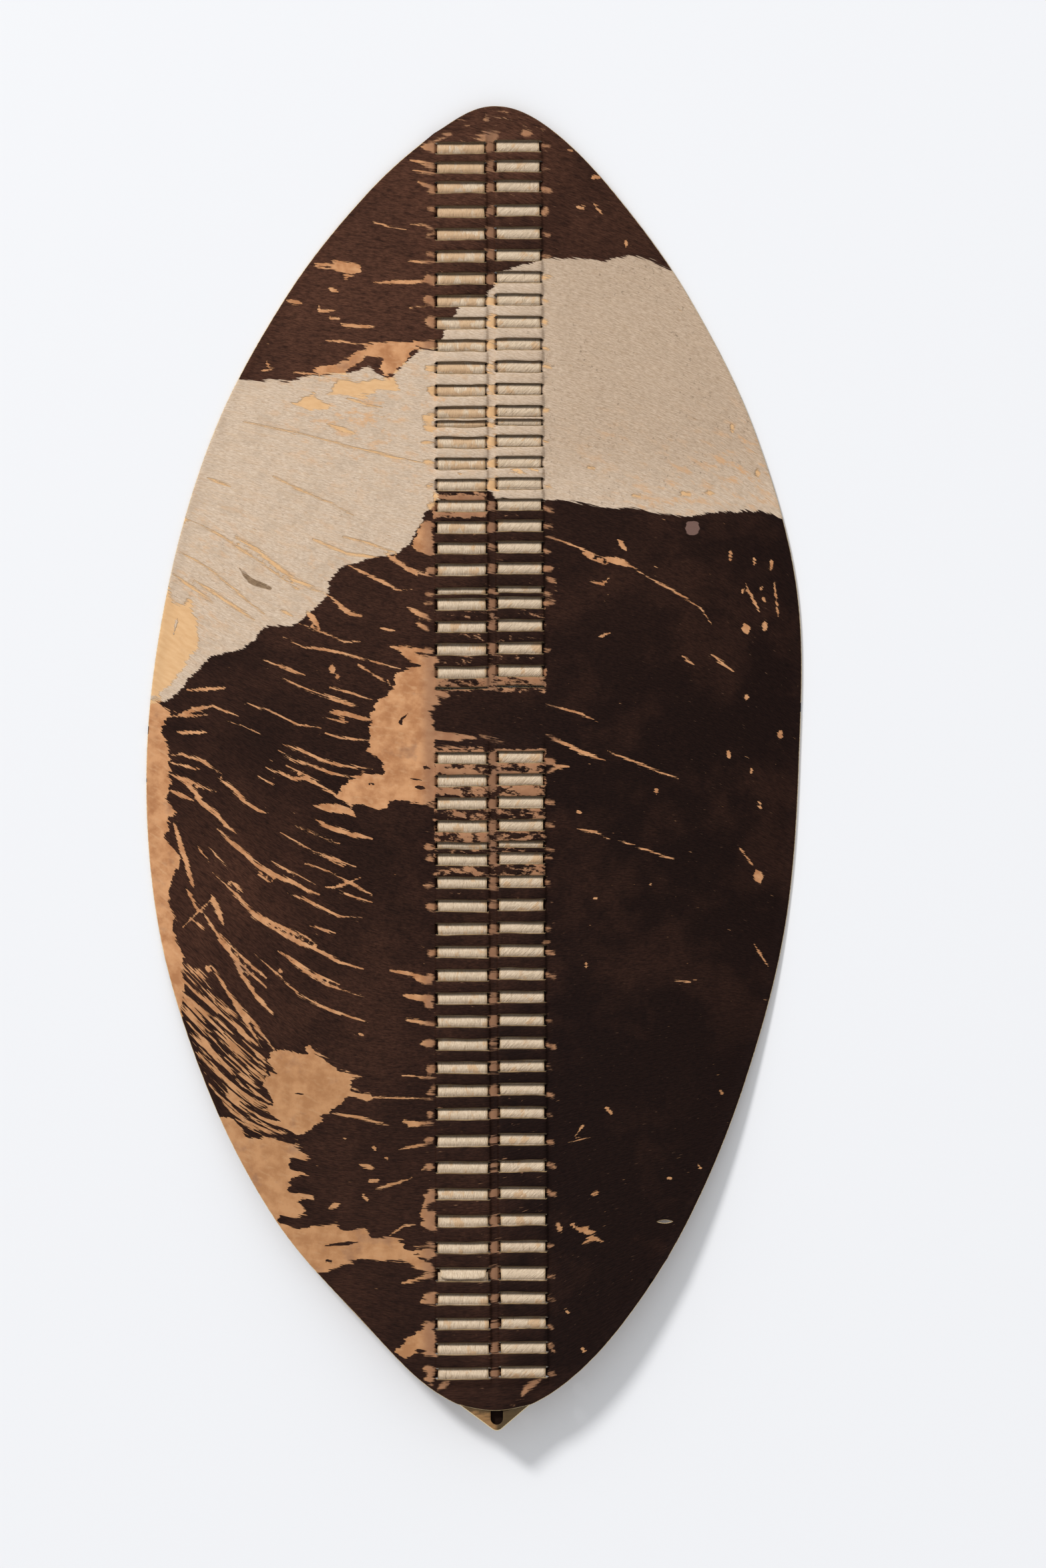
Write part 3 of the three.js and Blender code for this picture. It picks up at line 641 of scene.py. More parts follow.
def lace_stations():
    """Each lace's side and its stations: how far down, offset from mid hide, and trim."""
    tuck = -RAISE

    def woven(windows, slant):
        found = []
        for index, (middle, _) in enumerate(windows):
            if index:
                found.append(((windows[index - 1][0] + middle) / 2 + slant, -LACE_WEAVE, 0))
            found.append((middle + slant, LACE_WEAVE, 0))
        return found

    def start(windows, slant):
        slit = windows[0][0] - windows[0][1] / 2 + slant
        return [(slit - LACE_TAIL, tuck, 0), (slit, 0, 0)]

    def end(windows, slant):
        slit = windows[-1][0] + windows[-1][1] / 2 + slant
        return [(slit, 0, 0), (slit + LACE_TAIL, tuck, 0)]

    def whole(windows, slant):
        return start(windows, slant) + woven(windows, slant) + end(windows, slant)

    slant = ROW_SLANT / 2
    flap = next(i for i, window in enumerate(lower_windows) if window[1] == FLAP)
    middle = lower_windows[flap][0]
    before, after = lower_windows[:flap], lower_windows[flap + 1:]
    slit = middle - FLAP / 2 + slant
    lift, trim = LACE_THICK / 2 + LACE_CLEARANCE, 2.5
    flapped = start(before, slant) + woven(before, slant) + [
        ((before[-1][0] + middle) / 2 + slant, -LACE_WEAVE, 0),
        (slit, 0, trim / 2), (slit + FLAP / 4, lift, trim),
        (slit + FLAP - 0.5, lift + LACE_CLEARANCE, trim)]
    second = [(middle - FLAP / 5 + slant, -FLAP_DROP, 0),
              (middle + FLAP / 2 + slant, -LACE_WEAVE, 0),
              ((middle + after[0][0]) / 2 + slant, -LACE_WEAVE, 0)]
    second += woven(after, slant) + end(after, slant)
    return {
        "lace_upper_left": (-1, whole(upper_windows, slant)),
        "lace_upper_right": (1, whole(upper_windows, -slant)),
        "lace_lower_left": (-1, flapped),
        "lace_bottom_left": (-1, second),
        "lace_lower_right": (1, whole(lower_windows, -slant)),
    }


def lace_object(name, side, stations, seed):
    marks = np.array([s[0] for s in stations])
    count = int((marks[-1] - marks[0]) / LACE_ROW)
    down = np.linspace(marks[0], marks[-1], count + 1)
    offset = np.interp(down, marks, [s[1] for s in stations])
    trim = np.interp(down, marks, [s[2] for s in stations])
    left, right = lace_edges(side, down)
    left, right = left + trim, right - trim
    level = down * 0
    wave = (0.45 * value_noise(down, level, 9, seed)
            + 0.3 * value_noise(down, level, 3.5, seed + 1))
    left = left + 0.2 + wave
    right = right - 0.2 - 0.45 * value_noise(down, level + 40, 8, seed + 2)
    edges = np.array([(m - o / 2 * s, s) for m, o in upper_windows + lower_windows
                      for s in (1, -1)])
    edges[:, 0] -= side * ROW_SLANT / 2
    above = np.abs(down[:, None] - edges[edges[:, 1] > 0, 0]).min(axis=1)
    below = np.abs(down[:, None] - edges[edges[:, 1] < 0, 0]).min(axis=1)
    # Painted shadow on the lace where it tucks under the bridges: strong at each window's top
    # edge, weaker at its bottom edge
    tuck = np.maximum(1 - smooth(above, 0.2, 2.4), 0.6 * (1 - smooth(below, 0.2, 1.2)))
    dip = 0.9 * (1 - smooth(np.minimum(above, below), 0.5, 3.2))
    width, last = right - left, LACE_STEPS[-1]
    columns = [left + step for step in LACE_STEPS]
    columns += [left + last + (width - 2 * last) * m for m in np.linspace(0, 1, 20)[1:-1]]
    columns += [right - step for step in LACE_STEPS[::-1]]
    across = np.stack(columns, axis=1)
    down = np.repeat(down[:, None], across.shape[1], axis=1)
    frayed = 0.5 * value_noise(across, across * 0 + seed, 5, seed + 3)
    down[0] -= frayed[0] * 0.8
    down[-1] += frayed[-1] * 0.8
    if name == "lace_lower_left":
        # The loose flap's end is rounded and a little shorter at its corners
        bow = np.abs(2 * (across - left[:, None]) / width[:, None] - 1) ** 3
        down = down - smooth(down, marks[-1] - FLAP_BEND, marks[-1]) * (0.8 + 2.2 * bow)
    edge = np.minimum(across - left[:, None], right[:, None] - across)
    ends = np.minimum(down - marks[0], marks[-1] - down)
    half = LACE_THICK / 2
    drop = 0.75 * (1 - smooth(edge, -0.2, 2.2)) + 0.4 * (1 - smooth(ends, 0, 2))
    relief = (0.22 * value_noise(across, down, 2.6, seed + 4)
              + 0.25 * value_noise(across, down, 9, seed + 5))
    base = underside(across, down) + THICK / 2 + (offset - dip)[:, None]
    top = base + half - drop + relief * smooth(edge, 0, 2)
    bottom = base - half + 0.3 * (1 - smooth(edge, 0, 1.6))
    ids = np.arange(across.size).reshape(across.shape)
    under = ids + across.size
    plan = Plan()
    plan.grid(ids)
    plan.grid(under, flip=True)
    for row in (0, -1):
        plan.grid(np.stack([ids[:, row], under[:, row]], axis=1), flip=row == 0)
    for row in (0, -1):
        plan.grid([ids[row], under[row]], flip=row == 0)

    def both(upper, lower):
        return np.concatenate([upper.ravel(), lower.ravel()])

    x, y = both(across, across), both(down, down)
    spots = np.stack([SPINE_X + x, LENGTH / 2 - y, both(top, bottom)], axis=1)
    tuck = np.repeat(tuck[:, None], across.shape[1], axis=1)
    return make_object("shown_" + name, spots, plan.faces, {
        "top": np.arange(len(x)) < across.size, "edge": both(edge, edge), "across": x, "down": y,
        "side": np.full(len(x), float(side > 0)), "tuck": both(tuck, tuck),
    })


def pairs(*numbers):
    """Points from a row of numbers, across and down in turn."""
    return list(zip(numbers[::2], numbers[1::2]))


def streaks(*rows):
    """Streaks from rows of numbers, each the width and then its points."""
    return [(width, pairs(*row)) for width, *row in rows]


# The hide's pattern in plan: the pale field, and the patches of bare skin in it and round it
PALE_FIELD = pairs(
    -362, 273, -254, 273, -213, 273, -208, 275, -182, 269, -159, 267, -149, 267, -134, 263,
    -126, 259, -117, 266, -105, 273, -101, 267, -90, 257, -79, 247, -73, 243, -58, 243, -47, 220,
    -35, 201, -10, 190, 1, 177, 11, 163, 38, 157, 49, 152, 63, 153, 85, 152, 112, 154, 126, 150,
    143, 150, 155, 153, 167, 159, 175, 163, 238, 163, 345, 227, 345, 427, 305, 413, 283, 411,
    277, 407, 265, 403, 241, 405, 226, 405, 206, 408, 189, 411, 175, 409, 155, 405, 136, 401,
    124, 401, 107, 401, 77, 395, 63, 393, 50, 395, 38, 395, 1, 392, -5, 385, -59, 383, -55, 394,
    -70, 407, -75, 420, -87, 439, -98, 447, -123, 451, -136, 456, -151, 460, -162, 471, -167, 476,
    -165, 485, -175, 496, -187, 507, -195, 515, -204, 519, -223, 519, -232, 521, -238, 530,
    -249, 540, -263, 545, -285, 549, -291, 558, -306, 571, -315, 585, -329, 594, -362, 597)
BARE_PATCHES = [pairs(*row) for row in (
    (-362, 480, -327, 480, -321, 493, -312, 497, -305, 490, -301, 500, -298, 515, -295, 535,
    -304, 551, -323, 575, -336, 589, -362, 589), (-362, 591, -335, 592, -332, 599, -325, 604,
    -327, 611, -333, 625, -326, 637, -325, 650, -326, 666, -322, 674, -326, 685, -328, 693,
    -320, 705, -326, 711, -326, 721, -330, 729, -320, 743, -315, 752, -320, 764, -324, 780,
    -327, 789, -323, 801, -318, 813, -320, 831, -315, 839, -310, 850, -312, 862, -311, 880,
    -313, 893, -311, 913, -335, 913, -362, 827), (-167, 157, -137, 157, -133, 161, -137, 169,
    -149, 172, -153, 167, -181, 158), (-169, 233, -143, 235, -127, 235, -110, 235, -80, 235,
    -58, 234, -58, 243, -80, 243, -83, 247, -88, 255, -101, 268, -110, 271, -116, 264, -110, 253,
    -117, 251, -126, 251, -134, 257, -145, 261, -149, 268, -165, 266, -175, 271, -181, 263,
    -165, 258, -149, 253, -140, 246, -127, 241, -141, 239), (-159, 273, -147, 271, -134, 275,
    -121, 273, -102, 271, -97, 277, -97, 283, -118, 283, -125, 289, -159, 289, -167, 287,
    -161, 281), (-187, 289, -179, 285, -178, 291, -165, 299, -167, 304, -187, 304, -200, 296),
    (-85, 549, -71, 555, -77, 559, -93, 564, -99, 567, -108, 575, -99, 579, -109, 587, -119, 597,
    -123, 607, -122, 617, -124, 626, -127, 644, -117, 651, -109, 659, -113, 665, -135, 665,
    -155, 683, -159, 689, -143, 699, -135, 699, -115, 703, -99, 693, -75, 698, -65, 699, -59, 687,
    -59, 663, -59, 639, -59, 632, -35, 633, -21, 631, -29, 629, -42, 625, -59, 623, -61, 614,
    -67, 603, -53, 599, -59, 589, -47, 591, -47, 585, -58, 583, -58, 573, -58, 553, -69, 549),
    (-223, 943, -208, 941, -191, 947, -184, 935, -180, 945, -165, 951, -156, 962, -141, 967,
    -133, 969, -145, 971, -142, 981, -120, 988, -128, 992, -147, 990, -161, 1001, -173, 1007,
    -169, 1012, -186, 1022, -197, 1031, -205, 1022, -215, 1012, -231, 1001, -219, 993, -231, 975,
    -229, 969, -215, 965, -223, 958, -229, 950), (-275, 1009, -259, 1009, -247, 1029, -223, 1029,
    -199, 1039, -187, 1046, -177, 1051, -201, 1050, -204, 1059, -186, 1065, -201, 1067, -206, 1072,
    -205, 1079, -208, 1085, -180, 1085, -180, 1091, -197, 1091, -187, 1106, -202, 1109, -214, 1106,
    -215, 1127, -255, 1127, -295, 1040), (-211, 1115, -197, 1121, -177, 1117, -159, 1116,
    -148, 1123, -134, 1117, -128, 1117, -122, 1127, -106, 1127, -91, 1134, -85, 1144, -73, 1150,
    -61, 1159, -58, 1163, -61, 1165, -75, 1160, -85, 1152, -103, 1150, -111, 1151, -134, 1151,
    -150, 1155, -169, 1160, -185, 1167, -222, 1133), (-85, 1138, -61, 1137, -57, 1145, -67, 1151,
    -77, 1143), (-65, 1079, -59, 1079, -59, 1093, -68, 1096, -68, 1101, -59, 1103, -58, 1121,
    -65, 1123, -75, 1116, -71, 1108, -74, 1101, -71, 1090), (-75, 1194, -70, 1186, -59, 1184,
    -58, 1192), (-61, 1210, -59, 1245, -69, 1245, -75, 1239, -90, 1252, -99, 1241, -88, 1229,
    -73, 1220), (-59, 1259, -62, 1275, -70, 1270, -67, 1260), (-77, 41, -63, 35, -50, 28, -43, 27,
    -45, 31, -55, 36, -57, 40, -56, 46, -59, 47, -69, 44), (-21, 29, -9, 27, 3, 27, 3, 35, -3, 39,
    -11, 34, -17, 33), (-75, 420, -62, 413, -61, 447, -69, 448, -82, 441),
)]
# Streaks of bare skin in the dark and in the pale hair, and what lies over them
BARE_STREAKS = streaks(
    (2, -249, 596, -226, 603, -216, 608, -197, 617, -173, 621), (2, -169, 626, -155, 631,
    -124, 633), (1.3, -270, 613, -249, 620, -233, 627), (2, -282, 599, -269, 604, -255, 609),
    (4.7, -318, 609, -299, 602, -282, 599), (3.3, -318, 625, -286, 625), (2.7, -326, 609,
    -287, 608), (3.3, -308, 583, -269, 581), (2.7, -325, 648, -312, 647, -291, 654, -272, 667),
    (2, -325, 655, -295, 662), (3.7, -277, 670, -261, 681, -249, 695, -236, 703, -226, 706),
    (4, -325, 666, -310, 674, -299, 685, -293, 695, -277, 707, -269, 717, -257, 726),
    (1.7, -313, 670, -279, 685), (3.3, -325, 683, -301, 693), (2.7, -228, 660, -216, 665,
    -203, 671, -189, 672, -175, 678, -159, 687), (2.7, -212, 637, -195, 643, -175, 652, -155, 658,
    -122, 662), (2.7, -216, 643, -201, 653, -183, 658, -163, 666, -134, 671), (2, -208, 658,
    -175, 674), (1, -236, 669, -220, 677), (2.3, -214, 725, -195, 735, -179, 745, -159, 752,
    -139, 759), (1.7, -183, 743, -151, 759), (1.7, -189, 756, -165, 764, -143, 776, -122, 787),
    (3.7, -181, 711, -163, 721, -143, 727, -122, 731), (7.3, -181, 699, -159, 701, -147, 703,
    -139, 709), (2.7, -208, 785, -191, 791, -179, 797, -155, 808, -132, 810), (4.7, -277, 721,
    -265, 733, -251, 745, -236, 759, -220, 768, -203, 774, -187, 783, -175, 787), (1.7, -297, 739,
    -285, 755), (1.7, -286, 739, -266, 761), (3.3, -282, 765, -269, 776, -257, 789, -241, 805,
    -228, 813, -208, 821, -189, 829, -177, 837), (3.3, -243, 809, -226, 818, -203, 831, -175, 843,
    -155, 854, -132, 861), (2.7, -263, 774, -251, 785), (2, -236, 767, -223, 775), (1.3, -226, 752,
    -203, 764, -179, 777), (2.7, -291, 805, -281, 821, -271, 837, -257, 854, -243, 866, -228, 880),
    (2, -277, 825, -263, 839, -245, 856, -228, 870), (5.3, -283, 787, -277, 801, -271, 817),
    (1.7, -312, 820, -297, 805, -284, 793), (3.3, -308, 780, -299, 799, -293, 805),
    (2.7, -299, 813, -289, 822), (2.3, -216, 843, -197, 854, -183, 865, -155, 876), (2, -185, 818,
    -159, 825), (1.7, -283, 858, -269, 878), (4.7, -321, 715, -315, 733, -310, 750, -305, 766,
    -301, 780), (1.7, -216, 569, -195, 579, -175, 587, -155, 593, -136, 599), (1.3, -214, 561,
    -189, 568), (6, -162, 560, -162, 564), (4, -157, 570, -156, 570), (4.7, -165, 604, -145, 608,
    -122, 613), (1.3, -171, 610, -147, 615), (1.7, -165, 581, -139, 587, -122, 593),
    (1.3, -199, 717, -175, 729, -155, 737), (2.7, -169, 780, -157, 779, -134, 770), (2, -155, 785,
    -122, 795), (1.7, -241, 845, -224, 860, -208, 874), (2, -205, 853, -169, 877, -130, 889),
    (2.3, -232, 853, -195, 887, -162, 903, -125, 915), (2.7, -282, 860, -265, 887, -242, 913,
    -219, 943), (4, -259, 857, -239, 887, -221, 907), (3.3, -269, 880, -249, 913, -232, 940),
    (2, -142, 980, -122, 989, -62, 990), (2.7, -162, 1005, -132, 1010, -105, 1017),
    (3.3, -92, 1013, -62, 1015), (2.7, -119, 1080, -85, 1070), (4, -165, 1099, -155, 1095),
    (3.3, -105, 862, -62, 871), (5.3, -91, 887, -62, 893), (2.7, -89, 911, -59, 917), (4, -72, 933,
    -59, 933), (3.3, -109, 447, -77, 469), (2, -104, 454, -62, 471), (2.7, -147, 458, -113, 475,
    -98, 483, -83, 483), (4, -164, 490, -145, 507, -132, 509), (5.3, -187, 505, -175, 521),
    (2, -195, 517, -166, 528, -149, 535, -134, 535), (2, -211, 530, -191, 540, -157, 545,
    -125, 553, -94, 562), (1.3, -232, 553, -204, 562, -189, 569), (1.7, -217, 569, -179, 585,
    -141, 600), (2, -136, 558, -109, 575), (2, -164, 580, -125, 592), (4.7, -87, 501, -64, 513),
    (4, -79, 515, -66, 524), (2.7, -115, 521, -100, 524), (4, -104, 540, -64, 545), (8, -94, 545,
    -64, 558), (2, -79, 1115, -91, 1117, -106, 1127), (2.7, -93, 1174, -77, 1169, -59, 1167),
    (5.3, -57, 1279, -45, 1271), (5.3, 27, 1286, 31, 1278, 46, 1268), (6.7, 29, 27, 34, 27),
    (2.7, -10, 13, -7, 13), (2.7, -115, 1079, -83, 1069), (4, -131, 1087, -127, 1091),
    (3.3, -135, 1056, -120, 1059), (2.7, -109, 1049, -107, 1050), (2.7, -121, 1039, -119, 1041),
    (4, -124, 1072, -117, 1071), (2, -150, 1029, -149, 1030), (2.7, -134, 926, -132, 927),
    (3.3, -215, 862, -213, 864), (4.7, -287, 860, -286, 862), (4, -90, 1011, -85, 1016, -61, 1013),
    (8, -67, 895, -65, 897), (6, -81, 868, -64, 875), (1.3, -92, 967, -59, 969), (5.3, -68, 962,
    -59, 963), (4, -68, 984, -59, 985), (2, -96, 1041, -61, 1033), (1.3, -73, 1061, -64, 1055),
    (2.7, -58, 640, -29, 641), (2, -15, 629, 11, 635), (4, -167, 181, -157, 185), (3.3, -208, 194,
    -193, 197), (3.3, -176, 199, -175, 205, -159, 204), (2.7, -164, 212, -156, 212),
    (2.7, -153, 219, -118, 221), (3.3, -121, 176, -95, 176, -63, 175), (6.7, -68, 167, -61, 179),
    (5.3, -64, 192, -61, 202), (1.3, -85, 201, -64, 200), (4.7, -69, 214, -60, 221), (3, -87, 155,
    -57, 156), (1.3, -201, 266, -175, 268), (2, -233, 264, -221, 262), (2, -228, 255, -225, 262),
    (3.3, -85, 54, -59, 59), (2.7, -82, 64, -59, 68), (3.3, -79, 75, -57, 83), (2.7, -85, 118,
    -70, 119, -57, 127), (1.3, -122, 115, -105, 121, -89, 123), (2.7, 74, 44, 77, 44), (4, 98, 71,
    103, 71), (4, 83, 101, 88, 101), (2.7, 99, 98, 108, 109), (3.3, 131, 134, 131, 139),
    (4.7, 51, 102, 51, 103), (1.7, 51, 429, 79, 439, 99, 448, 108, 451), (5.3, 108, 451, 123, 455,
    138, 461), (1.7, 138, 461, 153, 471, 173, 481, 192, 493, 205, 501, 216, 517), (1.7, 88, 448,
    110, 458), (4, 123, 433, 131, 444), (2.7, 93, 475, 108, 477, 114, 471), (3.3, 51, 471,
    61, 476), (2, 102, 531, 115, 526), (1.7, 51, 597, 71, 602, 86, 607, 103, 615), (3.3, 51, 628,
    73, 638, 86, 645, 110, 653), (1.7, 112, 644, 138, 654, 160, 663, 183, 671), (3.3, 51, 666,
    64, 659, 74, 659), (2.7, 51, 717, 59, 719), (1.7, 81, 721, 101, 725, 115, 732), (1.7, 123, 733,
    153, 743, 179, 752), (2.7, 235, 445, 235, 453), (2, 259, 451, 259, 457), (3.3, 276, 455,
    276, 461), (1.7, 250, 476, 264, 505), (1.7, 279, 476, 283, 509), (2.7, 266, 481, 266, 482),
    (2.7, 268, 491, 269, 494), (2.7, 247, 483, 247, 486), (8, 249, 517, 252, 527), (6, 269, 517,
    270, 521), (1.7, 187, 549, 199, 559), (2.7, 216, 548, 238, 564), (4, 251, 589, 251, 591),
    (5.3, 285, 625, 285, 629), (3.3, 233, 645, 234, 650), (2.7, 256, 661, 256, 665),
    (3.3, 264, 695, 265, 700), (3.3, 161, 683, 161, 685), (2.7, 83, 705, 85, 706), (8.7, 261, 763,
    265, 775), (1.7, 244, 740, 257, 757), (2, 259, 837, 273, 859), (4, 50, 834, 53, 834),
    (2, 91, 855, 91, 859), (1.3, 179, 872, 195, 874), (2.7, 99, 791, 101, 791), (2.7, 155, 777,
    156, 777), (3.3, 111, 999, 116, 1005), (1.7, 73, 1034, 95, 1029), (1.7, 80, 1027, 88, 1017),
    (2.7, 225, 983, 227, 985), (2.7, 203, 1057, 205, 1059), (2.7, 173, 1069, 175, 1070),
    (3.3, 97, 1085, 102, 1083), (4.7, 63, 1115, 65, 1121), (3.3, 79, 1117, 85, 1121, 94, 1117),
    (3.3, 89, 1124, 101, 1123), (3.3, 87, 1135, 97, 1129, 108, 1132), (2.7, 77, 1115, 79, 1117),
    (2.7, 87, 1239, 89, 1241), (2.7, 57, 1240, 59, 1241), (2.7, 71, 1201, 73, 1203),
)
PALE_STREAKS = streaks(
    (1.3, -251, 315, -202, 325, -157, 337, -109, 349, -73, 356), (1.3, -221, 370, -191, 385,
    -164, 396, -141, 409), (1.3, -306, 412, -279, 425, -253, 443, -230, 458, -213, 471, -196, 483),
    (3.3, -259, 430, -238, 443, -217, 460, -200, 473, -179, 483, -168, 487), (1.7, -317, 443,
    -285, 462, -264, 479, -247, 494, -230, 507), (2.7, -300, 473, -279, 487, -255, 503, -240, 513),
    (2, -321, 467, -302, 481, -281, 496), (2, -181, 433, -147, 447, -115, 451), (1.3, -151, 430,
    -125, 437, -98, 447), (2, -287, 371, -264, 380), (2, -213, 503, -200, 511), (2.7, -147, 292,
    -127, 299, -113, 301), (4, -167, 318, -140, 327), (5.3, -65, 287, -57, 285), (5.3, -71, 321,
    -59, 323), (5.3, -311, 407, -311, 416), (2.7, 93, 361, 99, 362), (3.3, 138, 389, 145, 390),
    (4.7, 187, 387, 194, 388), (4, 210, 386, 218, 387), (3.3, 237, 318, 237, 325), (4.7, 262, 362,
    263, 370),
)
DARK_MARKS = streaks(
    (3, -95, 615, -93, 617), (2, -93, 612, -87, 607), (3.4, -79, 679, -69, 681), (3.3, -73, 659,
    -65, 661), (1.7, -84, 671, -73, 673), (2, -104, 574, -101, 575), (2, -125, 677, -121, 677),
    (2, -129, 665, -109, 664), (2.7, -171, 1137, -154, 1135, -136, 1133), (2, -168, 1151,
    -163, 1152), (4, -321, 815, -319, 827), (1.7, -201, 985, -188, 986), (2, -317, 510, -321, 527),
)
WOUNDS = streaks(
    (5.2, -255, 461, -243, 475, -219, 483), (14.6, 197, 420.5, 197, 421.5),
)
CREASES = streaks(
    (0.7, 61, 307, 116, 321, 165, 332, 208, 341), (0.7, 116, 360, 175, 376, 203, 380),
)


def runs_of(streaks, step=2.8):
    """Points along the middle of each streak."""
    points = []
    for _, line in streaks:
        for start, end in zip(line, line[1:]):
            start, end = np.array(start, float), np.array(end, float)
            count = max(1, int(np.linalg.norm(end - start) / step))
            points.extend(start + (end - start) * k / count for k in range(count))
        points.append(np.array(line[-1], float))
    kept, taken, cell = [], {}, 2
    for point in points:
        if all(np.hypot(*(point - near)) > RUN_ROOM for near in neighbours(taken, point, cell)):
            taken.setdefault((int(point[0] // cell), int(point[1] // cell)), []).append(point)
            kept.append(point)
    return np.array(kept)


def near_box(points, line, far):
    """True for points in the box round a line, widened on all sides."""
    return ((points > line.min(axis=0) - far) & (points < line.max(axis=0) + far)).all(axis=1)


def patches_field(points, patches, far=30):
    """Signed distance to the nearest of some patches, positive inside."""
    field = np.full(len(points), -float(far))
    for corners in patches:
        corners = np.array(corners, float)
        near = near_box(points, corners, far)
        field[near] = np.maximum(field[near], polygon_distance(points[near], corners))
    return field


def streaks_field(points, streaks, far=8):
    """How deep inside a streak each point lies; streaks narrow towards their ends."""
    field = np.full(len(points), -float(far))
    for width, line in streaks:
        line = np.array(line, float)
        near = near_box(points, line, far)
        if not near.any():
            continue
        steps = np.linalg.norm(np.diff(line, axis=0), axis=1)
        total, gone = max(steps.sum(), 1e-6), 0.0
        best = np.full(int(near.sum()), -float(far))
        for start, end, step in zip(line, line[1:], steps):
            distance, share = segment_distance(points[near], start, end)
            place = (gone + share * step) / total
            taper = 1.15 - 0.95 * np.abs(2 * place - 1) ** 2.5 if total > 8 else 1
            best = np.maximum(best, width / 2 * taper - distance)
            gone += step
        field[near] = np.maximum(field[near], best)
    return field


# Soft blobs, each across, down, size and strength: where the dark hair is a warmer brown, partly
# a painted sheen at the top and upper left; where it has pale tips; and where the pale hair has an
# ochre tinge
WARM_HAIR_AND_SHEEN = [(0, 20, 80, 1), (-150, 190, 120, 0.95), (-80, 90, 90, 0.95), (120, 120, 70, 0.6),
             (-130, 510, 110, 0.35), (-290, 780, 90, 0.55), (-170, 900, 130, 0.3),
             (-100, 1100, 110, 0.3), (100, 430, 90, 0.15), (120, 1120, 120, 0.25),
             (20, 1270, 60, 0.35)]
FLECKED_HAIR = [(270, 560, 75, 1), (240, 720, 80, 0.8), (100, 130, 70, 0.8), (0, 25, 60, 0.7),
                (150, 1040, 130, 0.6), (60, 1150, 60, 0.7), (-170, 200, 130, 0.3),
                (-200, 900, 130, 0.4), (160, 420, 80, 0.35)]
OCHRE_TINGE = [(250, 360, 35, 0.9), (190, 385, 35, 0.7), (150, 395, 25, 0.6),
               (110, 340, 25, 0.35), (-140, 300, 50, 0.8), (-60, 300, 30, 0.7),
               (-290, 430, 45, 0.35), (-180, 470, 50, 0.35), (-70, 350, 40, 0.4),
               (-310, 500, 30, 0.6)]


def soft_blobs(points, blobs):
    total = np.zeros(len(points))
    for across, down, size, strength in blobs:
        gap = (points[:, 0] - across) ** 2 + (points[:, 1] - down) ** 2
        total = np.maximum(total, strength * np.exp(-gap / (2 * size**2)))
    return total


POST_HALF = 5


def worn_by_laces():
    """Small bare flecks beside the windows, and the bare middle post at each window."""
    rng = np.random.default_rng(23)
    flecks, posts = [], []
    for middle, opening in upper_windows + lower_windows:
        centre = gap_centre(middle / LENGTH)
        left, right = centre - POST_HALF, centre + POST_HALF
        half = opening / 2 - rng.uniform(-0.6, 0.8)
        posts.append([(left, middle - half), (right, middle - half - 0.4),
                      (right, middle + half), (left, middle + half + 0.5)])
        for side in (-1, 1):
            if rng.random() > (0.95 if side < 0 else 0.8):
                continue
            edge = float(lace_edges(side, middle)[0 if side < 0 else 1]) + side * 3.2
            level = middle + rng.uniform(-3, 4)
            length = rng.uniform(3, 14) if side < 0 else rng.uniform(2, 8)
            width = rng.uniform(2.5, 7.5) if side < 0 else rng.uniform(2, 5.5)
            length *= side
            end = (edge + length, level + length * rng.uniform(-0.1, 0.35))
            flecks.append((width, [(edge, level), end]))
    return flecks, posts


# Direction of the hair: across, down and its slope in degrees, down to the right
HAIR_LAY = [
    (-202, 160, 2), (-95, 93, 8), (-275, 267, 5), (-149, 239, 1), (-95, 301, 8), (-255, 363, 12),
    (-202, 363, 16), (-255, 447, 28), (-149, 447, 16), (-69, 447, 13), (-309, 513, 35),
    (-202, 549, 17), (-95, 549, 12), (-275, 611, 20), (-149, 611, 13), (-69, 611, 8),
    (-322, 673, 38), (-255, 673, 34), (-149, 673, 15), (-69, 673, 12), (-315, 760, 50),
    (-255, 760, 42), (-202, 760, 25), (-95, 760, 14), (-295, 860, 55), (-229, 860, 42),
    (-149, 860, 24), (-82, 860, 14), (-269, 960, 52), (-202, 960, 45), (-149, 960, 17),
    (-82, 960, 6), (-202, 1045, 20), (-149, 1060, 5), (-82, 1060, -8), (-149, 1127, -8),
    (-82, 1147, -6), (-95, 1213, 10), (-29, 1267, -20), (78, 53, 30), (78, 115, 20),
    (145, 115, 30), (78, 187, 12), (145, 187, 25), (198, 207, 38), (78, 293, 16), (145, 293, 20),
    (198, 293, 28), (245, 320, 42), (78, 400, 17), (145, 400, 20), (198, 400, 24), (258, 400, 45),
    (78, 493, 14), (145, 493, 20), (198, 493, 32), (271, 493, 55), (78, 593, 18), (145, 593, 18),
    (198, 593, 26), (271, 593, 50), (78, 693, 8), (145, 693, 16), (198, 693, 22), (271, 693, 48),
    (78, 793, 0), (145, 793, 2), (198, 793, 10), (258, 793, 40), (78, 893, 0), (145, 893, -5),
    (198, 893, 0), (78, 993, -15), (145, 993, -10), (198, 993, -30), (78, 1093, -30),
    (145, 1093, -30), (78, 1193, -42), (118, 1193, -50),
]
LAY_STEP = 20.0
LAY_ACROSS, LAY_DOWN = np.arange(-380, 381, LAY_STEP), np.arange(-40, 1361, LAY_STEP)
LAY_REACH, LAY_ROUNDS = 45, 2500


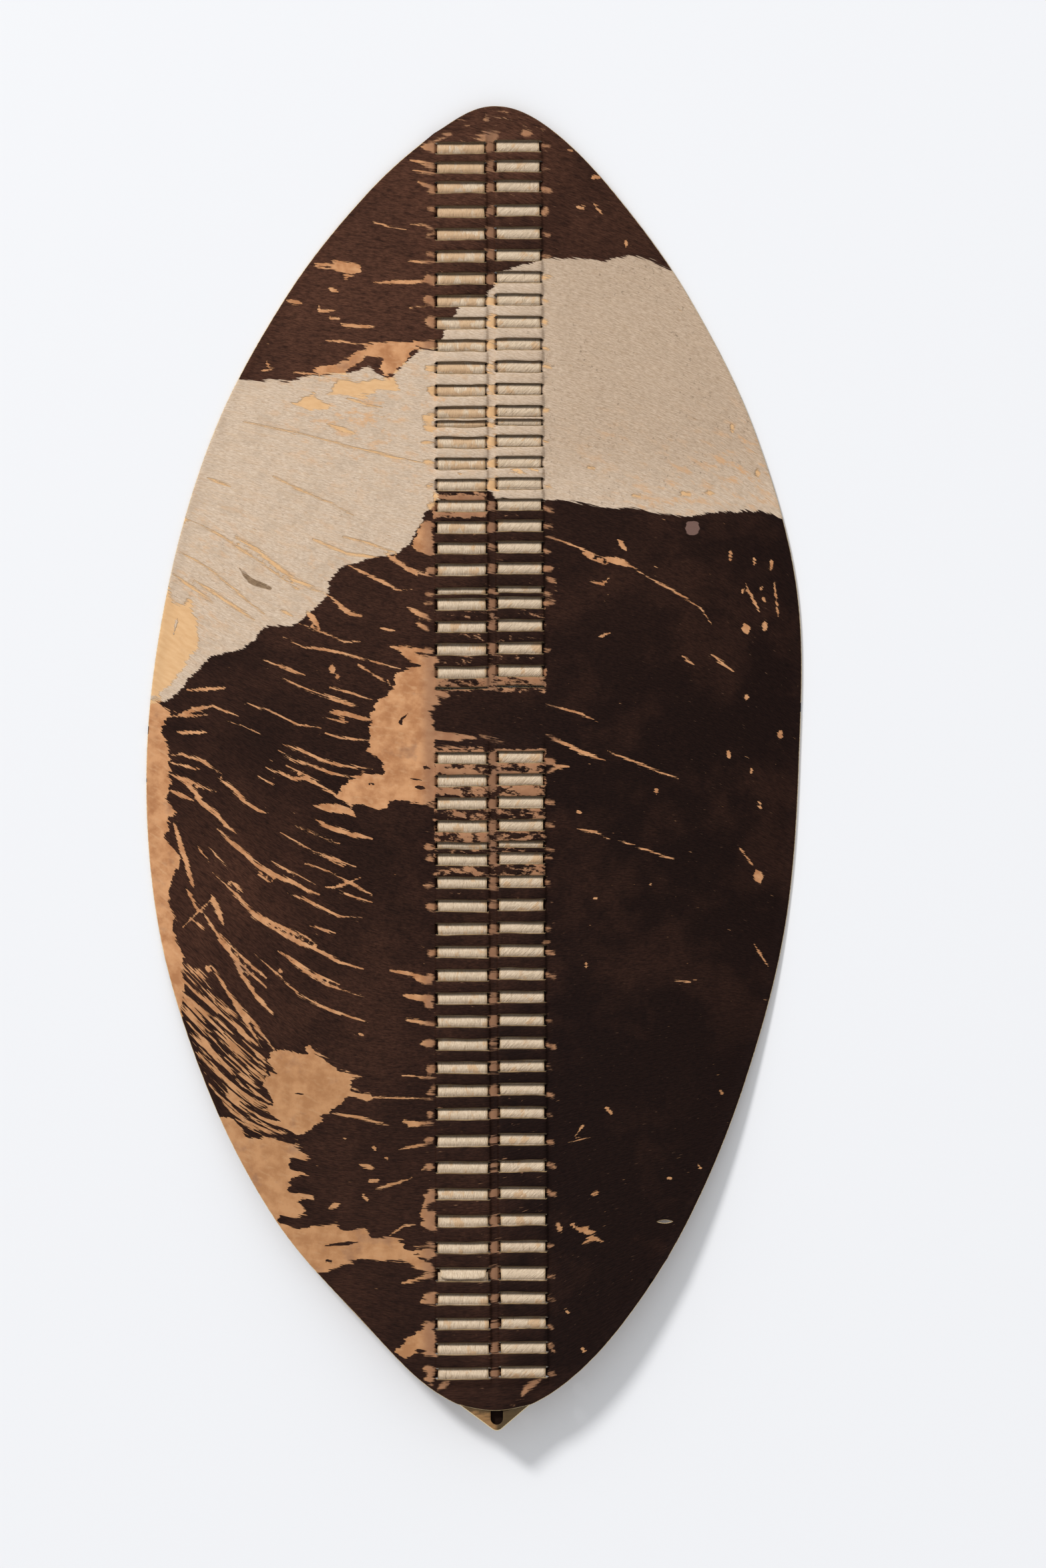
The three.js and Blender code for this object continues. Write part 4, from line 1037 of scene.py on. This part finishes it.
def lay_fields():
    """Grids of two lengths in millimetres, one along the hair and one across it."""
    x, y = np.meshgrid(LAY_ACROSS, LAY_DOWN)
    total = np.zeros((2, *x.shape))
    for across, down, angle in HAIR_LAY:
        weight = 1 / ((x - across) ** 2 + (y - down) ** 2 + LAY_REACH**2) ** 2
        turn = math.radians(angle)
        total += weight * np.array([math.cos(turn), math.sin(turn)])[:, None, None]
    total /= np.linalg.norm(total, axis=0)
    count = np.full(x.shape, 4.0)
    for edge in (0, -1):
        count[edge] -= 1
        count[:, edge] -= 1
    fields = []
    for gx, gy in ((total[0], total[1]), (-total[1], total[0])):
        field = x * gx.mean() + y * gy.mean()
        step_x = (gx[:, 1:] + gx[:, :-1]) / 2 * LAY_STEP
        step_y = (gy[1:] + gy[:-1]) / 2 * LAY_STEP
        for _ in range(LAY_ROUNDS):
            pull = np.zeros_like(field)
            pull[:, 1:] += field[:, :-1] + step_x
            pull[:, :-1] += field[:, 1:] - step_x
            pull[1:] += field[:-1] + step_y
            pull[:-1] += field[1:] - step_y
            field = pull / count
        fields.append(field)
    return fields


def sample_lay(field, x, y):
    """A grid's value at each point, by cubics through the grid's own values."""
    xs, ys = LAY_ACROSS, LAY_DOWN
    gx = np.clip((x - xs[0]) / LAY_STEP, 0, len(xs) - 1.001)
    gy = np.clip((y - ys[0]) / LAY_STEP, 0, len(ys) - 1.001)
    ix, iy = gx.astype(int), gy.astype(int)
    fx, fy = gx - ix, gy - iy

    def cubic(p0, p1, p2, p3, t):
        return p1 + 0.5 * t * (p2 - p0 + t * (2 * p0 - 5 * p1 + 4 * p2 - p3
                                             + t * (3 * (p1 - p2) + p3 - p0)))

    rows = []
    for k in (-1, 0, 1, 2):
        row = np.clip(iy + k, 0, len(ys) - 1)
        picks = [field[row, np.clip(ix + m, 0, len(xs) - 1)] for m in (-1, 0, 1, 2)]
        rows.append(cubic(*picks, fx))
    return cubic(*rows, fy)


# A zone where the dark hair is worn thin in streaks
THIN_ZONES = [pairs(*row) for row in (
    (-321, 853, -295, 860, -269, 893, -235, 933, -225, 960, -229, 987, -202, 1020, -209, 1035,
    -249, 1027, -272, 1000, -295, 960, -315, 893),
)]
# Where the laced strips of hide are rubbed bare in patches: left, top, right, bottom, how much
RUBBED = [(-62, 562, 52, 586, 0.95), (-62, 640, 52, 690, 0.95), (-62, 680, 52, 770, 0.8),
          (-62, 500, 52, 562, 0.6), (-62, 386, -7, 412, 1.15), (3, 362, 52, 368, 0.9),
          (-62, 440, 52, 500, 0.35), (-62, 20, -7, 60, 0.5), (-60, 0, 60, 26, 0.6),
          (-62, 770, 52, 830, 0.35)]


def rubbed_field(points):
    total = 0.42 * smooth(58 - np.abs(points[:, 0] + 4), -6, 6)
    for left, top, right, bottom, amount in RUBBED:
        inside = np.minimum.reduce([points[:, 0] - left, right - points[:, 0],
                                    points[:, 1] - top, bottom - points[:, 1]])
        total = np.maximum(total, amount * smooth(inside, -4, 3))
    return total


def world(table):
    """World millimetres of plan points whose rise is over the hide's underside."""
    across, down, rise = table[:, 0], table[:, 1], table[:, 2]
    height = underside(across, down) + rise
    return np.stack([SPINE_X + across, LENGTH / 2 - down, height], axis=1)


# Materials
class Nodes:
    """Short ways to wire up a material's nodes."""

    def __init__(self, name):
        self.material = bpy.data.materials.new(name)
        self.material.use_nodes = True
        self.tree = self.material.node_tree
        self.shader = self.tree.nodes["Principled BSDF"]

    def put(self, socket, value):
        if isinstance(value, bpy.types.NodeSocket):
            self.tree.links.new(value, socket)
        elif isinstance(value, tuple) and len(value) == 3 and socket.type == "RGBA":
            socket.default_value = (*value, 1)
        else:
            socket.default_value = value

    def field(self, name):
        node = self.tree.nodes.new("ShaderNodeAttribute")
        node.attribute_name = name
        return node.outputs["Fac"]

    def math(self, operation, a, b=0.0, c=0.0, clamp=False):
        node = self.tree.nodes.new("ShaderNodeMath")
        node.operation, node.use_clamp = operation, clamp
        for socket, value in zip(node.inputs, (a, b, c)):
            self.put(socket, value)
        return node.outputs[0]

    def add(self, a, b):
        return self.math("ADD", a, b)

    def less(self, a, b):
        return self.math("SUBTRACT", a, b)

    def times(self, a, b):
        return self.math("MULTIPLY", a, b)

    def most(self, a, b):
        return self.math("MAXIMUM", a, b)

    def step(self, value, low, high):
        """0 below low and 1 above high, smooth in between."""
        node = self.tree.nodes.new("ShaderNodeMapRange")
        node.interpolation_type = "SMOOTHSTEP"
        for socket, part in zip(node.inputs, (value, low, high, 0.0, 1.0)):
            self.put(socket, part)
        return node.outputs[0]

    def point(self, x, y, z=0.0):
        node = self.tree.nodes.new("ShaderNodeCombineXYZ")
        for socket, value in zip(node.inputs, (x, y, z)):
            self.put(socket, value)
        return node.outputs[0]

    def noise(self, place, cell, detail=2.0, rough=0.5):
        """Noise from about 0.2 to 0.8 with bumps a few cells wide."""
        node = self.tree.nodes.new("ShaderNodeTexNoise")
        node.noise_dimensions = "3D"
        self.put(node.inputs["Vector"], place)
        self.put(node.inputs["Scale"], 1 / cell)
        self.put(node.inputs["Detail"], detail)
        self.put(node.inputs["Roughness"], rough)
        return node.outputs["Fac"]

    def mix(self, share, a, b):
        node = self.tree.nodes.new("ShaderNodeMix")
        node.data_type = "RGBA"
        self.put(node.inputs[0], share)
        self.put(node.inputs[6], a)
        self.put(node.inputs[7], b)
        return node.outputs[2]

    def tint(self, colour, where, amount, paint):
        """A colour painted over by another, by some amount where it says."""
        return self.mix(self.times(where, amount), colour, paint)

    def centred(self, noise, size):
        """Noise turned into millimetres either way."""
        return self.times(self.less(noise, 0.5), size)

    def bump(self, height, distance):
        node = self.tree.nodes.new("ShaderNodeBump")
        self.put(node.inputs["Distance"], distance)
        self.put(node.inputs["Height"], height)
        return node.outputs[0]

    def finish(self, colour, roughness, normal=None, specular=0.3):
        self.put(self.shader.inputs["Base Color"], colour)
        self.put(self.shader.inputs["Roughness"], roughness)
        self.put(self.shader.inputs["Specular IOR Level"], specular)
        if normal is not None:
            self.put(self.shader.inputs["Normal"], normal)
        return self.material


# Colours; a name on its own with two of them runs from the dark to the light end
BLACK_HAIR = (0.0062, 0.0028, 0.0024), (0.0165, 0.0072, 0.0052)
BROWN_HAIR = (0.036, 0.0138, 0.0082), (0.112, 0.046, 0.027)
TUFT_BROWN, TIP_TAN = (0.13, 0.06, 0.032), (0.20, 0.105, 0.06)
PALE_HAIR = (0.47, 0.34, 0.235), (0.71, 0.56, 0.425)
PALE_TUFT, PALE_BLOTCH = (0.60, 0.42, 0.27), (0.44, 0.33, 0.235)
# Pale hair darkened by painted shade, for the band on the right
SHADED_PALE_HAIR = (0.36, 0.245, 0.16), (0.585, 0.435, 0.31)
PALE_SPOT, PALE_TINGE = (0.22, 0.155, 0.105), (0.66, 0.37, 0.18)
TAN_SKIN = (0.42, 0.185, 0.08), (0.62, 0.315, 0.15)
OCHRE_SKIN = (0.60, 0.34, 0.155), (0.78, 0.50, 0.265)
LIGHT_SKIN, LOW_SKIN = (0.66, 0.38, 0.20), (0.32, 0.17, 0.075)
# Skin beside the laces, and the post's reddish skin darkened by painted shade
LACED_SKIN, SHADED_POST_SKIN = (0.25, 0.125, 0.075), (0.20, 0.105, 0.062)
SMUDGE, GRIME = (0.20, 0.11, 0.08), (0.24, 0.11, 0.06)
WOUND = (0.14, 0.085, 0.05), (0.33, 0.22, 0.13)
ROUND_MARK, CREASE = (0.18, 0.105, 0.085), (0.24, 0.15, 0.09)
CUT_RIM = (0.46, 0.32, 0.16), (0.84, 0.66, 0.40)
CUT_SLIT = (0.12, 0.078, 0.04), (0.34, 0.23, 0.115)
SLIT_LIP = (0.115, 0.075, 0.04)
# The tab's face, with painted shade on its right half and painted light on its left half
TAB_LIT_AND_SHADED = (0.088, 0.058, 0.028), (0.30, 0.165, 0.07)
TAB_SHADE, TAB_TUFT = (0.06, 0.042, 0.023), (0.07, 0.042, 0.022)
# Painted shade inside the pocket, and the tab's cut edge
POCKET_SHADE, TAB_EDGE = (0.014, 0.0065, 0.004), (0.80, 0.64, 0.38)
FLESH_SIDE = (0.30, 0.18, 0.095), (0.56, 0.40, 0.245)
FLESH_SPOT = (0.2, 0.11, 0.06)
LACE_HAIR = (0.58, 0.425, 0.285), (0.83, 0.66, 0.475)
LACE_TUFT, LACE_CREASE = (0.56, 0.41, 0.25), (0.30, 0.2, 0.12)
LACE_SKIN = (0.53, 0.31, 0.16), (0.76, 0.51, 0.29)
# The lace's rim, and the painted shadow where the lace tucks under the bridges
LACE_RIM, LACE_TUCK_SHADE = (0.45, 0.29, 0.14), (0.05, 0.03, 0.018)
LACE_FLESH = (0.36, 0.23, 0.13), (0.6, 0.44, 0.28)


def hide_material():
    n = Nodes("dark_hide")
    x, y, along, aside, cut, top_side = (
        n.field(name) for name in ("across", "down", "along", "aside", "cut", "top"))

    def hair(stretch, shift, cell, detail=3.0, rough=0.6):
        """Noise drawn out along the hair; the shift tells one from another."""
        return n.noise(n.point(n.times(along, stretch), aside, shift), cell, detail, rough)

    def plain(shift, cell, detail=3.0):
        """Noise that follows no direction."""
        return n.noise(n.point(x, y, shift), cell, detail, 0.6)

    def beside(middle, outer, inner):
        """1 near a line that runs down the hide and 0 far from it."""
        return n.step(n.math("ABSOLUTE", n.less(x, middle)), outer, inner)

    clump = hair(0.12, 3.0, 2.6)
    tongue = hair(0.12, 40.0, 4.2, rough=0.65)
    strand = hair(0.07, 17.0, 0.62, rough=0.7)
    tuft = hair(0.3, 9.0, 3.2, 2.0, 0.5)
    sliver = hair(0.05, 23.0, 1.5)
    dash = hair(0.2, 29.0, 1.0, 2.0)
    blotch = plain(5.0, 14.0)

    # Where the hair is pale, and where the skin is bare: depths in millimetres
    pale_edge = n.add(n.centred(tongue, 7.0), n.centred(sliver, 9.0))
    pale = n.step(n.add(n.field("pale"), pale_edge), -0.5, 0.6)
    ragged = n.add(n.centred(tongue, 17.0), n.centred(clump, 5.0))
    patches = n.add(n.field("worn"), ragged)
    fine = n.add(n.centred(sliver, 7.0), n.centred(dash, 3.0))
    streaks = n.add(n.field("streak"), fine)
    thin_limit = n.less(0.90, n.times(n.field("thin"), 0.40))
    thin = n.times(n.less(hair(0.085, 71.0, 3.4, rough=0.65), thin_limit), 26.0)
    rub_limit = n.less(0.95, n.times(n.field("rubbed"), 0.52))
    rubs = n.times(n.less(hair(0.3, 120.0, 4.2, rough=0.65), rub_limit), 24.0)
    specks = n.times(n.less(hair(0.16, 90.0, 2.1, 2.0, 0.5), 0.775), 14.0)
    bare_depth = n.most(n.most(patches, streaks), n.most(n.most(thin, rubs), specks))
    laced = beside(-4.0, 74.0, 60.0)
    soft = n.add(0.3, n.times(n.most(pale, laced), 0.9))
    bare = n.step(bare_depth, n.times(soft, -1.0), soft)

    # Dark hair, lighter and warmer brown in places, with a painted sheen at the top and upper left
    patchy = n.step(plain(31.0, 70.0), 0.42, 0.64)
    warmth_and_sheen = n.math("ADD", n.field("warmth_and_sheen"), n.times(patchy, 0.2), clamp=True)
    cool = n.times(n.step(x, -20.0, 40.0), n.step(y, 850.0, 1000.0))
    warmth_and_sheen = n.math("SUBTRACT", warmth_and_sheen, n.times(cool, 0.3), clamp=True)
    dashes = n.times(n.step(dash, 0.3, 0.72), 0.7)
    grain = n.math("ADD", n.times(n.step(strand, 0.3, 0.72), 0.45), dashes, clamp=True)
    dark = n.mix(n.times(warmth_and_sheen, n.step(tuft, 0.0, 0.6)),
                 n.mix(grain, *BLACK_HAIR), n.mix(grain, *BROWN_HAIR))
    dark = n.tint(dark, n.step(clump, 0.58, 0.8), n.times(warmth_and_sheen, 0.25), TUFT_BROWN)
    tips = n.step(hair(0.16, 33.0, 1.1, 1.0, 0.5), 0.72, 0.8)
    dark = n.tint(dark, tips, n.times(n.field("flecked"), 0.7), TIP_TAN)

    # Pale hair, darkened by painted shade in the band on the right, which is also more spotted
    cream = n.mix(grain, *PALE_HAIR)
    cream = n.tint(cream, n.step(clump, 0.42, 0.75), 0.45, PALE_TUFT)
    cream = n.tint(cream, n.step(blotch, 0.45, 0.7), 0.35, PALE_BLOTCH)
    right_band = n.step(x, -20.0, 90.0)
    # Painted shade over the right band's pale hair, above about 330 mm down
    right_shade = n.times(right_band, n.step(y, 400.0, 330.0))
    cream = n.tint(cream, right_shade, 0.7, n.mix(grain, *SHADED_PALE_HAIR))
    speckle = n.step(plain(50.0, 3.8), 0.58, 0.74)
    spotted = n.step(plain(61.0, 40.0), 0.36, 0.6)
    cream = n.tint(cream, n.times(speckle, spotted),
                   n.add(0.35, n.times(right_band, 0.4)), PALE_SPOT)
    tinge = n.step(hair(0.4, 44.0, 6.5, rough=0.65), 0.5, 0.68)
    cream = n.tint(cream, tinge, n.field("tinge"), PALE_TINGE)

    # Bare skin, redder and darker beside the laces, with painted shade on the sunken post between
    # them
    skin = n.mix(n.step(blotch, 0.3, 0.7), *TAN_SKIN)
    skin = n.tint(skin, n.step(tuft, 0.5, 0.8), 0.5, LIGHT_SKIN)
    skin = n.tint(skin, n.step(y, 820.0, 1000.0), 0.4, LOW_SKIN)
    skin = n.tint(skin, laced, 0.6, LACED_SKIN)
    # The post's own reddish skin, darkened by painted shade where it sinks between the laces
    skin = n.tint(skin, beside(-2.5, 7.5, 4.5), 0.6, SHADED_POST_SKIN)
    skin = n.mix(pale, skin, n.mix(tuft, *OCHRE_SKIN))
    skin = n.tint(skin, n.step(plain(77.0, 22.0), 0.56, 0.74), 0.35, SMUDGE)
    skin = n.tint(skin, n.step(strand, 0.66, 0.8), 0.35, GRIME)
    top = n.mix(bare, n.mix(pale, dark, cream), skin)

    # Marks and cut edges
    wound = n.step(n.add(n.field("wound"), n.centred(clump, 3.0)), -0.6, 0.6)
    top = n.mix(wound, top, n.mix(n.step(x, 0.0, 1.0), n.mix(grain, *WOUND), ROUND_MARK))
    top = n.tint(top, n.step(n.field("crease"), -0.5, 0.3), 0.45, CREASE)
    at_slits = n.times(beside(-4.0, 62.0, 58.0), n.step(y, 1275.0, 1270.0))
    clumped = n.step(clump, 0.3, 0.7)
    cut_skin = n.mix(at_slits, n.mix(clumped, *CUT_RIM), n.mix(clumped, *CUT_SLIT))
    cut_skin = n.mix(n.field("lip"), cut_skin, SLIT_LIP)
    top = n.mix(n.step(n.add(cut, n.centred(tuft, 0.7)), 0.5, 0.75), top, cut_skin)

    # The tab and its pocket
    # Painted light on the tab's left half, painted shade on its right half, and a painted shadow
    # under the lip
    tab = n.mix(n.step(x, 4.0, -1.0), *TAB_LIT_AND_SHADED)
    tab = n.tint(tab, n.step(n.add(y, n.centred(blotch, 16.0)), 1304.0, 1299.0), 0.8, TAB_SHADE)
    tab = n.tint(tab, n.step(tuft, 0.5, 0.7), 0.5, TAB_TUFT)
    # Painted shade inside the pocket
    tab = n.mix(n.field("hollow"), tab, POCKET_SHADE)
    tab = n.mix(n.step(cut, 0.25, 0.5), tab, TAB_EDGE)
    top = n.mix(n.field("tab"), top, tab)

    flesh = n.mix(plain(0.0, 26.0, 4.0), *FLESH_SIDE)
    flesh = n.tint(flesh, speckle, 0.25, FLESH_SPOT)
    colour = n.mix(n.step(top_side, 0.2, 0.6), flesh, top)

    hair_cover = n.times(n.less(1.0, bare), top_side)
    nap = n.times(n.add(n.times(strand, 0.5), n.times(clump, 0.7)), hair_cover)
    height = n.add(n.add(nap, n.times(hair_cover, 0.3)), n.times(blotch, 0.3))
    roughness = n.add(0.62, n.times(bare, 0.12))
    return n.finish(colour, roughness, n.bump(height, 0.0008), 0.05)


def lace_material():
    n = Nodes("pale_lace")
    x, y, side = (n.field(name) for name in ("across", "down", "side"))
    lean = n.add(x, n.times(n.times(side, y), 0.9))
    stroke = n.noise(n.point(lean, n.times(y, 0.2), 4.0), 0.7, 3.0, 0.65)
    tuft = n.noise(n.point(lean, n.times(y, 0.3), 8.0), 3.0, 2.0, 0.55)
    patch = n.noise(n.point(x, y, 2.0), 17.0, 2.0, 0.5)
    crease = n.noise(n.point(x, n.times(y, 0.12), 15.0), 1.7, 2.0, 0.6)
    colour = n.mix(n.step(stroke, 0.25, 0.72), *LACE_HAIR)
    colour = n.tint(colour, n.step(tuft, 0.5, 0.78), 0.4, LACE_TUFT)
    colour = n.tint(colour, n.step(crease, 0.63, 0.72), 0.5, LACE_CREASE)
    upper_left = n.times(n.step(y, 420.0, 300.0), n.math("LESS_THAN", side, 0.5))
    limit = n.less(0.6, n.times(upper_left, 0.16))
    bare = n.less(n.add(patch, n.times(n.centred(tuft, 1.0), 0.35)), limit)
    colour = n.tint(colour, n.step(bare, -0.03, 0.06), 0.8, n.mix(tuft, *LACE_SKIN))
    colour = n.tint(colour, n.step(n.field("edge"), 2.2, 0.4), 0.6, LACE_RIM)
    # Painted shadow where the lace tucks under the bridges
    colour = n.tint(colour, n.field("tuck"), 0.85, LACE_TUCK_SHADE)
    flesh = n.mix(n.noise(n.point(x, y), 12.0, 3.0, 0.6), *LACE_FLESH)
    colour = n.mix(n.field("top"), flesh, colour)
    height = n.add(n.times(stroke, 0.6), tuft)
    return n.finish(colour, 0.75, n.bump(height, 0.0012), 0.25)


fleck_streaks, post_patches = worn_by_laces()
all_streaks = BARE_STREAKS + PALE_STREAKS
plan, tab_start = hide_plan(runs_of(all_streaks + DARK_MARKS))
table = plan.table()
spots = table[:, :2]
lay_along, lay_aside = lay_fields()
worn = patches_field(spots, BARE_PATCHES)
worn = np.maximum(worn, patches_field(spots, post_patches, 8))
marks = streaks_field(spots, DARK_MARKS)
hide = make_object("shown_hide", world(table), plan.faces, {
    "top": table[:, 4],
    "cut": table[:, 3],
    "across": table[:, 0],
    "down": table[:, 1],
    "along": sample_lay(lay_along, *spots.T),
    "aside": sample_lay(lay_aside, *spots.T),
    "pale": patches_field(spots, [PALE_FIELD]),
    "worn": np.minimum(worn, -3 * marks),
    "streak": np.maximum(streaks_field(spots, all_streaks), streaks_field(spots, fleck_streaks)),
    "thin": smooth(patches_field(spots, THIN_ZONES), -14, 7),
    "rubbed": rubbed_field(spots),
    "flecked": soft_blobs(spots, FLECKED_HAIR),
    "tinge": soft_blobs(spots, OCHRE_TINGE),
    "lip": table[:, 5],
    "wound": streaks_field(spots, WOUNDS),
    "crease": streaks_field(spots, CREASES),
    "tab": np.arange(len(table)) >= tab_start,
    "hollow": table[:, 6],
    "warmth_and_sheen": soft_blobs(spots, WARM_HAIR_AND_SHEEN),
}, merge=0.004)
hide.data.materials.append(hide_material())
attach(hide, "root")
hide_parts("hide")

pale_lace = lace_material()
for index, (name, (side, stations)) in enumerate(lace_stations().items()):
    lace = lace_object(name, side, stations, 40 + 9 * index)
    lace.data.materials.append(pale_lace)
    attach(lace, "root")
    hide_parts(name)

# Floor, light and camera
bpy.ops.mesh.primitive_plane_add(size=80, location=(0, 0, 0))
floor = bpy.context.object
floor.name = "floor"
floor.data.materials.append(Nodes("floor_paint").finish((0.85, 0.85, 0.865), 0.9))

scene = bpy.context.scene
scene.view_settings.view_transform = "Standard"
sky = bpy.data.worlds.new("soft_studio")
scene.world = sky
sky.use_nodes = True
background = sky.node_tree.nodes["Background"].inputs
background["Color"].default_value = (0.96, 0.98, 1.0, 1)
background["Strength"].default_value = 0.66


def hang_light(name, kind, power, aim, place=(0, 0, 0)):
    """A light that shines along a direction from a place."""
    lamp = bpy.data.lights.new(name, kind)
    lamp.energy = power
    holder = bpy.data.objects.new(name, lamp)
    holder.location = place
    holder.rotation_euler = Vector(aim).to_track_quat("-Z", "Y").to_euler()
    scene.collection.objects.link(holder)
    return lamp


hang_light("key_light", "SUN", 1.75, (8.0, -9.6, -9.9)).angle = math.radians(10)
hang_light("soft_box", "AREA", 45, (3.0, -3.6, -4.0), (-3.0, 3.6, 4.0)).size = 1.5

CAMERA_HEIGHT, SENSOR_WIDTH = 10.0, 36
FRAME_LENGTH = 1.5667
camera_data = bpy.data.cameras.new("camera")
camera_data.sensor_width = SENSOR_WIDTH
camera_data.lens = SENSOR_WIDTH * CAMERA_HEIGHT / FRAME_LENGTH
camera_data.clip_end = 100
camera = bpy.data.objects.new("camera", camera_data)
camera.location = (0.049, -0.0167, CAMERA_HEIGHT)
scene.collection.objects.link(camera)
scene.camera = camera
